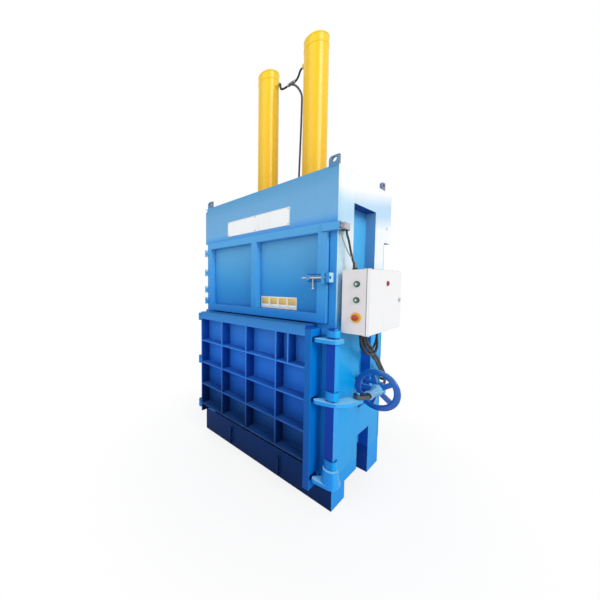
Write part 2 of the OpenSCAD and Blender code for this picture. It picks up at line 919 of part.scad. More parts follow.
module hinge_brackets() {
    main_brackets();
    feed_brackets();
}

// Limit switch that the interlock arm presses

switch_x = hw + 16;
switch_z = (arm_z + arm_top) / 2;
switch_w = 46;
switch_d = 84;
switch_h = 46;
plunger_d = 12;
plunger_out = arm_out - arm_t - 1;
module limit_switch() {
    color("#c9ccd0")
        difference() {
            union() {
                block(hw, 2, switch_z - switch_h / 2, hw + switch_w, 2 + switch_d, switch_z + switch_h / 2);
                bar_y(switch_x, switch_z, -6, 2, 22);
            }
            bar_y(switch_x, switch_z, -6 - eps, 16, plunger_d + 0.6);
        }
}

module switch_plunger() {
    color(steel)
        union() {
            bar_y(switch_x, switch_z, -plunger_out, 8, plunger_d);
            bar_y(switch_x, switch_z, -plunger_out, -plunger_out + 8, 18);
        }
}

// Control cabinet

cab_x0 = hw + cabinet_gap;
cab_x1 = cab_x0 + cabinet_x;
cab_y0 = cabinet_start;
cab_y1 = cabinet_start + cabinet_y;
cab_top = cabinet_low + cabinet_z;
lid_t = 18;
shell_x1 = cab_x1 - lid_t - 1;
button_x = cab_x0 + 96;
button_z = [1661, 1555];
stop_z = 1438;
button_hole = 23;

pivot_in = 4;
pivot_pin_d = 6;
tab_t = 4;
module cabinet_shell() {
    color(light_grey)
        difference() {
            union() {
                block(cab_x0, cab_y0, cabinet_low, shell_x1, cab_y1, cab_top);
                for (z = [cabinet_low - tab_t, cab_top])
                    block(shell_x1 - 18, cab_y0, z, cab_x1 + 1, cab_y0 + 18, z + tab_t);
            }
            post(cab_x1 - pivot_in, cab_y0 + pivot_in, cabinet_low - tab_t - eps, cab_top + tab_t + eps,
                 pivot_pin_d + 2 * run_gap);
            block(cab_x0 + cabinet_t, cab_y0 + cabinet_t, cabinet_low + cabinet_t,
                  shell_x1 + eps, cab_y1 - cabinet_t, cab_top - cabinet_t);
            for (z = concat(button_z, [stop_z]))
                bar_y(button_x, z, cab_y0 - eps, cab_y0 + 10, button_hole);
        }
}

// Folded lid with the hole for its lock
lock_z = 1540;
module cabinet_door() {
    z0 = cabinet_low + 0.5;
    z1 = cab_top - 0.5;
    color("#f0efec")
        union() {
            difference() {
                block(shell_x1 + 1, cab_y0, z0, cab_x1, cab_y1, z1);
                block(shell_x1, cab_y0 + cabinet_t, z0 + cabinet_t,
                      cab_x1 - cabinet_t, cab_y1 - cabinet_t, z1 - cabinet_t);
                bar_x(lock_y, lock_z, shell_x1, cab_x1 + eps, lock_d + 2 * run_gap);
            }
            for (z = [cabinet_low - tab_t, cab_top - eps])
                post(cab_x1 - pivot_in, cab_y0 + pivot_in, z, z + tab_t + eps, pivot_pin_d);
        }
}

bracket_places = [[60, 40], [60, 332], [559, 30]];
module cabinet_brackets() {
    color(blue)
        for (p = bracket_places)
            block(hw, cab_y0 + p[0], cabinet_low + p[1], cab_x0, cab_y0 + p[0] + 40, cabinet_low + p[1] + 40);
}

// Mounting plate with contactors and relays
module switchgear() {
    color("#c8c8c4")
        block(cab_x0 + 8, cab_y0 + 110, cabinet_low + 40, cab_x0 + 12, cab_y1 - 40, cab_top - 40);
    color("#c8c8c4")
        for (y = [cab_y0 + 130, cab_y1 - 70])
            block(cab_x0 + cabinet_t, y, cabinet_low + 200, cab_x0 + 8, y + 20, cabinet_low + 230);
    color(dark)
        for (k = [0 : 4])
            block(cab_x0 + 12 + seat, cab_y0 + 140 + 78 * k, cabinet_low + 90, cab_x0 + 82, cab_y0 + 195 + 78 * k,
                  cabinet_low + 170);
    color(dark)
        for (k = [0 : 5])
            block(cab_x0 + 12 + seat, cab_y0 + 150 + 60 * k, cabinet_low + 250, cab_x0 + 72, cab_y0 + 190 + 60 * k,
                  cabinet_low + 330);
}

// Push buttons: each a stem through the cabinet's front with a cap outside
button_rest = cab_y0 - 3;
button_d = 34;
button_cap = 12;
module up_button() {
    color("#2f9a5a")
        button(button_z[0], button_d, button_cap);
}

module down_button() {
    color("#2f9a5a")
        button(button_z[1], button_d, button_cap);
}

stop_d = 42;
stop_cap = 22;
stop_rest = 6;
module stop_button() {
    color("#c02418")
        translate([0, -stop_rest, 0])
            button(stop_z, stop_d, stop_cap);
}

module button(z, d, h) {
    union() {
        bar_y(button_x, z, button_rest - h, button_rest, d);
        bar_y(button_x, z, button_rest - 1, cab_y0 + 26, button_hole - 1);
    }
}

lock_y = cab_y0 + 568;
lock_d = 26;
module cabinet_lock() {
    color(dark)
        union() {
            bar_x(lock_y, lock_z, cab_x1 - cabinet_t - 12, cab_x1 + 1, lock_d);
            bar_x(lock_y, lock_z, cab_x1 + 0.3, cab_x1 + 6, lock_d + 8);
            block(cab_x1 - cabinet_t - 12, lock_y - 8, lock_z - 8, cab_x1 - cabinet_t - 9, lock_y + 30, lock_z + 8);
        }
}

// Yellow ring with the emergency stop's mushroom head in front of it
module stop_ring() {
    color(yellow)
        difference() {
            bar_y(button_x, stop_z, cab_y0 - 3, cab_y0, 70);
            bar_y(button_x, stop_z, cab_y0 - 4, cab_y0 + eps, button_hole + 4);
        }
}

module signal_lamp() {
    color("#c02030")
        bar_x(lamp_y, lamp_z, cab_x1, cab_x1 + 12, 30);
}
lamp_y = 320;
lamp_z = 1665;

gland_h = 18;
gland_z = cabinet_low - gland_h;
top_glands = [[830, 84], [836, 110]];
low_glands = [[875, 210], [875, 168], [875, 120], [875, 410], [825, 235], [825, 560]];
rear_glands = [[560, 905], [510, 905]];
module cable_glands() {
    color(dark)
        union() {
            for (g = top_glands)
                translate([g[0], g[1], cab_top])
                    cylinder(d = 22, h = gland_h, $fn = 6);
            for (g = low_glands)
                translate([g[0], g[1], gland_z])
                    cylinder(d = 34, h = gland_h, $fn = 6);
            for (g = rear_glands)
                translate([g[0], g[1], upper_z - gland_h])
                    cylinder(d = 34, h = gland_h, $fn = 6);
        }
}

// Cables between the limit switch and the cabinet's top
switch_low = switch_z - switch_h / 2 - seat;
switch_route = [
    [784, 66, switch_low], [784, 66, 2010], [792, 82, 1960], [800, 92, 1900], [818, 88, 1830], [829, 84, 1803],
    [830, 84, 1792], [830, 84, 1784], [830, 84, cab_top + gland_h]];
sensor_route = [
    [764, 22, switch_low], [764, 22, 2012], [776, 34, 1960], [798, 62, 1880], [822, 96, 1822], [835, 109, 1803],
    [836, 110, 1792], [836, 110, 1784], [836, 110, cab_top + gland_h]];
module switch_cables() {
    color(dark)
        cord(switch_route, 14, 3);
    color("#8c9296")
        cord(sensor_route, 8, 3);
}

// Cables under the cabinet: two to the rear of the upper box, and two that loop back
lead = gland_z - 18;
rear_lead = upper_z - gland_h - 32;
bundle_routes = [
    [[875, 210, gland_z], [875, 210, lead], [875, 210, 1262], [870, 250, 1225], [858, 350, 1178],
     [846, 450, 1112], [830, 560, 1058], [812, 690, 968], [804, 800, 880], [796, 880, 816], [770, 925, 775],
     [720, 945, 775], [660, 945, 830], [600, 930, 940], [568, 912, 1090], [560, 905, 1250], [560, 905, 1600],
     [560, 905, 1850], [560, 905, 1940], [560, 905, rear_lead], [560, 905, upper_z - gland_h]],
    [[875, 168, gland_z], [875, 168, lead], [875, 168, 1260], [869, 234, 1202], [857, 335, 1156],
     [845, 435, 1089], [829, 545, 1035], [811, 675, 945], [803, 785, 857], [795, 862, 786], [768, 915, 735],
     [712, 955, 722], [640, 962, 775], [575, 945, 880], [525, 922, 1040], [510, 905, 1220], [510, 905, 1600],
     [510, 905, 1850], [510, 905, 1940], [510, 905, rear_lead], [510, 905, upper_z - gland_h]],
    [[875, 120, gland_z], [875, 120, lead], [875, 120, 1262], [886, 140, 1205], [893, 200, 1162],
     [895, 270, 1150], [893, 340, 1160], [886, 390, 1200], [875, 410, 1260], [875, 410, lead],
     [875, 410, gland_z]],
    [[825, 235, gland_z], [825, 235, lead], [825, 235, 1262], [818, 270, 1190], [812, 350, 1132],
     [810, 430, 1112], [812, 500, 1128], [820, 548, 1190], [825, 560, 1260], [825, 560, lead],
     [825, 560, gland_z]]];
bundle_sizes = [24, 22, 18, 16];
module power_cables() {
    color(dark)
        for (k = [0 : len(bundle_routes) - 1])
            cord(bundle_routes[k], bundle_sizes[k], 2);
}

// Press cylinders

barrel_z = crosshead_top;
barrel_top = crosshead_top + cyl_len;
cap_t = 60;
flange_t = 40;
port_z = barrel_top - 150;
flange_pcd = flange_d - 50;
bolt_count = 8;

module barrel(x) {
    difference() {
        union() {
            post(x, cyl_y, barrel_z, barrel_top, cyl_d);
            post(x, cyl_y, barrel_z, barrel_z + flange_t, flange_d);
            post(x, cyl_y, barrel_top - 6, barrel_top + 14, cyl_d - 36);
            bar_x(cyl_y, port_z, x + (x > 0 ? -cyl_d / 2 - 22 : 0), x + (x > 0 ? 0 : cyl_d / 2 + 22), 50);
        }
        post(x, cyl_y, barrel_z - eps, barrel_top - cap_t, cyl_bore);
    }
}

module left_barrel() {
    color(yellow)
        barrel(-cyl_x);
}

module right_barrel() {
    color(yellow)
        barrel(cyl_x);
}

module gland(x) {
    color(steel)
        difference() {
            union() {
                post(x, cyl_y, crosshead_z - 8, crosshead_top, gland_d);
                post(x, cyl_y, crosshead_z - 8, crosshead_z, gland_d + 40);
            }
            post(x, cyl_y, crosshead_z - 10, crosshead_top + eps, rod_d + 2 * run_gap);
        }
}

module rod_glands() {
    gland(-cyl_x);
    gland(cyl_x);
}

module flange_bolts() {
    color(steel)
        for (x = [-cyl_x, cyl_x], k = [0 : bolt_count - 1]) {
            a = 360 * (k + 0.5) / bolt_count;
            translate([x + flange_pcd / 2 * cos(a), cyl_y + flange_pcd / 2 * sin(a), barrel_z + flange_t])
                cylinder(d = 36, h = 18, $fn = 6);
        }
}

piston_d = cyl_bore - 2 * run_gap;
piston_h = 80;
piston_top = barrel_top - cap_t - 20;
module rod(x) {
    color(steel)
        union() {
            post(x, cyl_y, platen_z + platen_h, piston_top, rod_d);
            post(x, cyl_y, piston_top - piston_h, piston_top, piston_d);
        }
}

module left_rod() {
    rod(-cyl_x);
}

module right_rod() {
    rod(cyl_x);
}

// Platen: a thick plate with a stiffening grid on top and strap grooves below
module platen() {
    x1 = inner - platen_gap;
    y0 = rebate_back + sill_t + platen_gap;
    y1 = chamber_back - platen_gap;
    cell = 24;
    color(deep_blue)
        difference() {
            block(-x1, y0, platen_z, x1, y1, platen_z + platen_h);
            for (x = [-x1 + cell, cell / 2 + 380, cell / 2 - 170], row = [0, 1]) {
                w = x == cell / 2 - 170 ? 340 - cell : x1 - 380 - 1.5 * cell;
                h = (y1 - y0 - 3 * cell) / 2;
                block(x, y0 + cell + row * (h + cell), platen_z + 50, x + w,
                      y0 + cell + row * (h + cell) + h, platen_z + platen_h + eps);
            }
        }
}

// Power unit on the deck

tank_x0 = -560;
tank_x1 = 60;
unit_y0 = deck_y + 20;
unit_y1 = upper_d - panel_t - 10;
unit_z = deck_z + deck_t;
tank_h = 190;
motor_d = 170;
motor_y = unit_y1 - 118;
motor_z = unit_z + motor_d / 2 + 6;
module oil_tank() {
    color(deep_blue)
        union() {
            block(tank_x0, unit_y0, unit_z, tank_x1, unit_y1, unit_z + tank_h);
            post(tank_x0 + 80, motor_y, unit_z + tank_h - 1, unit_z + tank_h + 34, 60);
        }
}

module oil_pump() {
    color(dark)
        union() {
            bar_x(motor_y, motor_z, tank_x1, tank_x1 + 60, 90);
            bar_x(motor_y, motor_z, tank_x1 + 59, tank_x1 + 110, 140);
        }
}

module pump_motor() {
    x0 = tank_x1 + 110;
    color("#4a6fa0")
        union() {
            bar_x(motor_y, motor_z, x0, x0 + 290, motor_d);
            bar_x(motor_y, motor_z, x0 + 289, x0 + 330, motor_d - 14);
            block(x0 + 40, motor_y - 60, unit_z, x0 + 230, motor_y + 60, motor_z - motor_d / 2 + 12);
            block(x0 + 90, motor_y - 45, motor_z + motor_d / 2 - 8, x0 + 190, motor_y + 45, motor_z + motor_d / 2 + 40);
        }
}

valve_x = tank_x0 + 220;
module valve_block() {
    color(steel)
        union() {
            block(valve_x, unit_y0 + 40, unit_z + tank_h, valve_x + 200, unit_y0 + 130, unit_z + tank_h + 50);
            for (k = [0, 1])
                bar_x(unit_y0 + 85, unit_z + tank_h + 30, valve_x - 60 + 259 * k, valve_x + 1 + 259 * k, 44);
        }
}

// Riser pipe beside the right cylinder, with a tee between the two hoses

pipe_y = cyl_y - 12;
pipe_d = 18;
tee_d = 30;
tee_arm = 30;
tee = [23, pipe_y, port_z - 86];
riser_low = unit_z + tank_h + 30;
tee_foot = [tee[0] + tee_arm * sin(45), pipe_y, tee[2] - tee_arm * cos(45)];
riser_route = [
    [valve_x + 260.5, unit_y0 + 85, riser_low], [-60, unit_y0 + 85, riser_low], [-40, unit_y0 + 85, riser_low],
    [40, unit_y0 + 70, riser_low],
    [96, unit_y0, riser_low + 2], [114, cyl_y + 160, riser_low + 18], [115, cyl_y + 60, riser_low + 48],
    [116, cyl_y, riser_low + 128], [122, pipe_y, riser_low + 220], [136, pipe_y, 3127], [141, pipe_y, 3380],
    [140, pipe_y, 3430], [127, pipe_y, 3476], [tee_foot[0] + 54, pipe_y, 3530], tee_foot + [26, 0, -26],
    tee_foot + [0.3, 0, -0.3]];
module riser_pipe() {
    color("#4f5860")
        cord(riser_route, pipe_d, 3);
}

module tee_fitting() {
    color(dark)
        union() {
            bar_x(pipe_y, tee[2], tee[0] - tee_arm, tee[0] + tee_arm, tee_d);
            translate(tee)
                rotate([0, 135, 0])
                    cylinder(d = tee_d - 4, h = tee_arm);
        }
}

hose_d = 20;
port_end = cyl_x - cyl_d / 2 - 22;
left_route = [
    [-port_end + 0.5, cyl_y, port_z], [-port_end + 7, cyl_y, port_z], [-port_end + 14, cyl_y, port_z],
    [-port_end + 24, cyl_y - 1, port_z - 16], [-117, cyl_y - 4, port_z - 40], [-107, cyl_y - 8, port_z - 66],
    [-84, pipe_y, port_z - 81], [-56, pipe_y, tee[2] - 1], [tee[0] - tee_arm - 26, pipe_y, tee[2]],
    [tee[0] - tee_arm - 13, pipe_y, tee[2]], [tee[0] - tee_arm - 0.5, pipe_y, tee[2]]];
right_route = [
    [tee[0] + tee_arm + 0.5, pipe_y, tee[2]], [tee[0] + tee_arm + 9, pipe_y, tee[2]],
    [tee[0] + tee_arm + 18, pipe_y, tee[2]], [87, pipe_y, tee[2] + 9], [100, cyl_y - 9, tee[2] + 32],
    [108, cyl_y - 5, tee[2] + 58], [118, cyl_y - 1, port_z - 6], [port_end - 14, cyl_y, port_z],
    [port_end - 7, cyl_y, port_z], [port_end - 0.5, cyl_y, port_z]];
module hoses() {
    color(dark) {
        cord(left_route, hose_d, 3);
        cord(right_route, hose_d, 3);
    }
}

// Moves the body's centre over the origin
module placed() {
    translate([0, -body_d / 2, 0])
        children();
}

placed() base_frame();
placed() left_wall();
placed() right_wall();
placed() rear_wall();
placed() header_plate();
placed() front_sill();
placed() crosshead();
placed() power_deck();
placed() rear_panel();
placed() lifting_lugs();
placed() header_name_plate();
placed() lock_bearings();
placed() hinge_brackets();
placed() bolt_keeper();
placed() screw_bracket();
placed() left_barrel();
placed() right_barrel();
placed() rod_glands();
placed() flange_bolts();
placed() oil_tank();
placed() pump_motor();
placed() oil_pump();
placed() valve_block();
placed() riser_pipe();
placed() tee_fitting();
placed() hoses();
placed() cabinet_shell();
placed() cabinet_brackets();
placed() switchgear();
placed() stop_ring();
placed() cable_glands();
placed() switch_cables();
placed() power_cables();
placed() limit_switch();
placed() platen();
placed() left_rod();
placed() right_rod();
placed() feed_door_frame();
placed() feed_door_sheet();
placed() interlock_arm();
placed() door_name_plate();
placed() latch_bolt();
placed() main_door_plate();
placed() main_door_ribs();
placed() lock_post();
placed() main_door_hinges();
placed() lock_shaft();
placed() top_claw();
placed() middle_claw();
placed() bottom_claw();
placed() swivel_block();
placed() clamp_screw();
placed() handwheel();
placed() cabinet_door();
placed() signal_lamp();
placed() cabinet_lock();
placed() up_button();
placed() down_button();
placed() stop_button();
placed() switch_plunger();
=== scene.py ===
"""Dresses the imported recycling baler: finishes, rounded pieces, small fittings, floor, lamps and camera.

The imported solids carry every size. This file gives them their paint and metal, puts smoother or more
detailed pieces in the place of the plain ones, and sets up the studio.
"""
from __future__ import annotations

import logging
import math
from dataclasses import dataclass
from enum import Enum
from typing import Sequence, Union

import bmesh
import bpy
from mathutils import Matrix, Vector

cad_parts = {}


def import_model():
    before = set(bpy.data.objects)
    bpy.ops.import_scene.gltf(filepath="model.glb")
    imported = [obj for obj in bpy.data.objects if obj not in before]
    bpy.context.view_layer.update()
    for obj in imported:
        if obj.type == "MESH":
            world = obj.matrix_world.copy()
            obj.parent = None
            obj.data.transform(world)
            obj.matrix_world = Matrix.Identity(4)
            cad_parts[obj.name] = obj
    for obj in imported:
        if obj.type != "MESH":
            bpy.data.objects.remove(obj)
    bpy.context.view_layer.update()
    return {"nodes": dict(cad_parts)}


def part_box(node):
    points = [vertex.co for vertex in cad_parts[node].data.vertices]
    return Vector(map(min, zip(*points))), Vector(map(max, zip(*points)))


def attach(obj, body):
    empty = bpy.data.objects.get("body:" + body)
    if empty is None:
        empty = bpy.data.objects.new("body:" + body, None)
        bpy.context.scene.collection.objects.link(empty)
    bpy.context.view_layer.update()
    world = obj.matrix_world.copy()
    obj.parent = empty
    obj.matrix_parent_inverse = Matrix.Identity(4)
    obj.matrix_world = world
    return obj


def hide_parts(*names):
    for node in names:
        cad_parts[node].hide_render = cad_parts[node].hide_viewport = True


LOG = logging.getLogger("baler")
Point = tuple[float, float, float]
Colour = tuple[float, float, float, float]
Shades = tuple[tuple[float, str], ...]
Pairs = tuple[tuple[float, float], ...]
WHITE: Colour = (1.0, 1.0, 1.0, 1.0)
# Height in metres that a colour ramp covers
TALL = 4.0
# How far the body's front lies before the middle of the frame, in metres
FRONT_PLANE = 0.435
# Angle in degrees above which an edge stays sharp
SHARP = 38.0


def linear(code: str) -> Colour:
    """Turns a #rrggbb colour into linear values.

    Args:
        code: The colour as a screen shows it.

    Returns:
        Red, green, blue and an alpha of one.
    """
    parts = [int(code[i:i + 2], 16) / 255 for i in (1, 3, 5)]
    red, green, blue = [p / 12.92 if p <= 0.04045 else ((p + 0.055) / 1.055) ** 2.4 for p in parts]
    return red, green, blue, 1.0


class Way(Enum):
    """The directions that small parts face."""

    FRONT = (0.0, -1.0, 0.0)
    BACK = (0.0, 1.0, 0.0)
    RIGHT = (1.0, 0.0, 0.0)
    LEFT = (-1.0, 0.0, 0.0)
    UP = (0.0, 0.0, 1.0)
    DOWN = (0.0, 0.0, -1.0)

    @property
    def turn(self) -> Matrix:
        """The rotation that takes +Z to this direction."""
        return Vector((0, 0, 1)).rotation_difference(Vector(self.value)).to_matrix().to_4x4()


# Node trees


@dataclass(frozen=True)
class Wire:
    """A number in a shader, on which Python's operators work."""

    recipe: "Shader"
    socket: bpy.types.NodeSocket

    def __add__(self, other: "Term") -> "Wire":
        """Adds."""
        return self.recipe.maths("ADD", self, other)

    __radd__ = __add__

    def __sub__(self, other: "Term") -> "Wire":
        """Subtracts."""
        return self.recipe.maths("SUBTRACT", self, other)

    def __rsub__(self, other: "Term") -> "Wire":
        """Subtracts from a number."""
        return self.recipe.maths("SUBTRACT", other, self)

    def __mul__(self, other: "Term") -> "Wire":
        """Multiplies."""
        return self.recipe.maths("MULTIPLY", self, other)

    def span(self, low: float, high: float) -> "Wire":
        """Steps smoothly from 0 to 1.

        Args:
            low: Where it is still 0.
            high: Where it is 1; the step falls where this is the smaller number.

        Returns:
            The step.
        """
        made = self.recipe.node("ShaderNodeMapRange", {"interpolation_type": "SMOOTHSTEP"},
                                {0: self, 1: min(low, high), 2: max(low, high)})
        rise = Wire(self.recipe, made.outputs[0])
        return rise if low < high else 1.0 - rise


Term = Union[Wire, float]


class Tree:
    """A node tree that is being put together."""

    def __init__(self, tree: bpy.types.NodeTree) -> None:
        """Takes on a tree and empties it."""
        self.tree = tree
        self.tree.nodes.clear()

    def node(self, kind: str, settings: dict | None = None, inputs: dict | None = None) -> bpy.types.Node:
        """Adds a node.

        Args:
            kind: The node's type.
            settings: Its own settings, set first; stops are a ramp's places and colours.
            inputs: Values or links, by the socket's name or number.

        Returns:
            The node.
        """
        made = self.tree.nodes.new(kind)
        for key, value in (settings or {}).items():
            if key == "stops":
                ramp = made.color_ramp
                for i, (place, colour) in enumerate(value):
                    stop = ramp.elements[i] if i < 2 else ramp.elements.new(place)
                    stop.position = place
                    stop.color = colour
            else:
                setattr(made, key, value)
        for key, value in (inputs or {}).items():
            source = value.socket if isinstance(value, Wire) else value
            if isinstance(source, bpy.types.NodeSocket):
                self.tree.links.new(source, made.inputs[key])
            else:
                made.inputs[key].default_value = source
        return made


class Shader(Tree):
    """A shader tree, with maths on its numbers."""

    def maths(self, kind: str, first: Term, second: Term) -> Wire:
        """Works out one step of maths."""
        return Wire(self, self.node("ShaderNodeMath", {"operation": kind}, {0: first, 1: second}).outputs[0])

    def part(self, source: bpy.types.NodeSocket, letter: str) -> Wire:
        """One of a vector's three numbers."""
        return Wire(self, self.node("ShaderNodeSeparateXYZ", None, {0: source}).outputs[letter])

    def backdrop_rays(self) -> Wire:
        """Tells the rays that show the backdrop: the camera's own, mirrored and passed on.

        Returns:
            One for such a ray, and 0 for the light that falls on things.
        """
        rays = self.node("ShaderNodeLightPath").outputs
        kinds = ("Camera", "Glossy", "Transmission")
        seen, mirrored, passed = (Wire(self, rays[f"Is {kind} Ray"]) for kind in kinds)
        return seen + mirrored + passed


class Recipe(Shader):
    """A material that is being put together."""

    def __init__(self, name: str) -> None:
        """Starts an empty material.

        Args:
            name: What the finish is called.
        """
        self.material = bpy.data.materials.new(name)
        self.material.use_nodes = True
        super().__init__(self.material.node_tree)
        place = self.node("ShaderNodeTexCoord")
        self.place = place.outputs["Object"]
        self.facing = place.outputs["Normal"]

    def noise(self, scale: float, detail: float = 3.0, stretch: Point = (1.0, 1.0, 1.0)) -> Wire:
        """Makes a cloudy pattern over the piece.

        Args:
            scale: How many lumps lie in a metre.
            detail: How many finer layers the pattern has.
            stretch: The scale of each direction.

        Returns:
            The pattern, from 0 to 1.
        """
        place = self.node("ShaderNodeMapping", None, {"Vector": self.place, "Scale": stretch}).outputs[0]
        made = self.node("ShaderNodeTexNoise", None, {"Vector": place, "Scale": scale, "Detail": detail})
        return Wire(self, made.outputs[0])

    def blend(self, factor: Term, first: object, second: object, how: str = "MIX") -> Wire:
        """Mixes two colours.

        Args:
            factor: The share of the second colour.
            first: The colour or wire underneath.
            second: The colour or wire on top.
            how: The way of mixing.

        Returns:
            The mixed colour.
        """
        made = self.node("ShaderNodeMix", {"data_type": "RGBA", "blend_type": how},
                         {0: factor, 6: first, 7: second})
        return Wire(self, made.outputs[2])

    def heights(self, shades: Shades, glare_slant: float = 0.0) -> Wire:
        """A colour that changes with the height above the floor.

        Args:
            shades: Heights in metres with their colours, from the lowest.
            glare_slant: How far the bands of colour rise in each metre towards the back, to tilt the painted
                glare band on the right side.

        Returns:
            The colour.
        """
        rise = self.part(self.place, "Z")
        if glare_slant:
            rise = rise - (self.part(self.place, "Y") + FRONT_PLANE) * glare_slant
        stops = [(z / TALL, linear(code)) for z, code in shades]
        ramp = self.node("ShaderNodeValToRGB", {"stops": stops}, {0: rise * (1 / TALL)})
        return Wire(self, ramp.outputs[0])

    def corners(self, radius: float) -> tuple[bpy.types.NodeSocket, Wire]:
        """Rounds the corners of the shading.

        Args:
            radius: How far from a corner the rounding reaches, in metres.

        Returns:
            The rounded normal, and a mask that is 1 on the corners.
        """
        soft = self.node("ShaderNodeBevel", {"samples": 4}, {"Radius": radius}).outputs[0]
        flat = self.node("ShaderNodeNewGeometry").outputs["Normal"]
        match = self.node("ShaderNodeVectorMath", {"operation": "DOT_PRODUCT"}, {0: soft, 1: flat})
        mask = 1.0 - Wire(self, match.outputs["Value"])
        return soft, mask.span(0.02, 0.22)

    def finish(self, inputs: dict, bumps: Sequence[tuple[Wire, float, float]] = (),
               normal: bpy.types.NodeSocket | None = None) -> bpy.types.Material:
        """Closes the material with its surface shader.

        Args:
            inputs: The shader's values and links.
            bumps: Height patterns, each with its strength and its depth in metres.
            normal: The normal that the bumps start from.

        Returns:
            The material.
        """
        last = normal
        for height, strength, depth in bumps:
            links: dict = {"Height": height, "Strength": strength, "Distance": depth}
            if last is not None:
                links["Normal"] = last
            last = self.node("ShaderNodeBump", None, links).outputs[0]
        if last is not None:
            inputs = {**inputs, "Normal": last}
        shader = self.node("ShaderNodeBsdfPrincipled", None, inputs)
        self.node("ShaderNodeOutputMaterial", None, {"Surface": shader.outputs[0]})
        return self.material


# Finishes


@dataclass(frozen=True)
class Finish:
    """A material, and the record's slot that it stands for."""

    material: bpy.types.Material
    slot: str


# How squarely a surface faces a direction: from where it starts to count, to where it counts fully
TOWARDS = (0.55, 0.85)
AGAINST = (-0.5, -0.8)
UPWARDS = (0.75, 0.98)
# The width over which one area's colour gives way to the next, in metres
FADE = 0.01
SIDE_FADE = 0.004


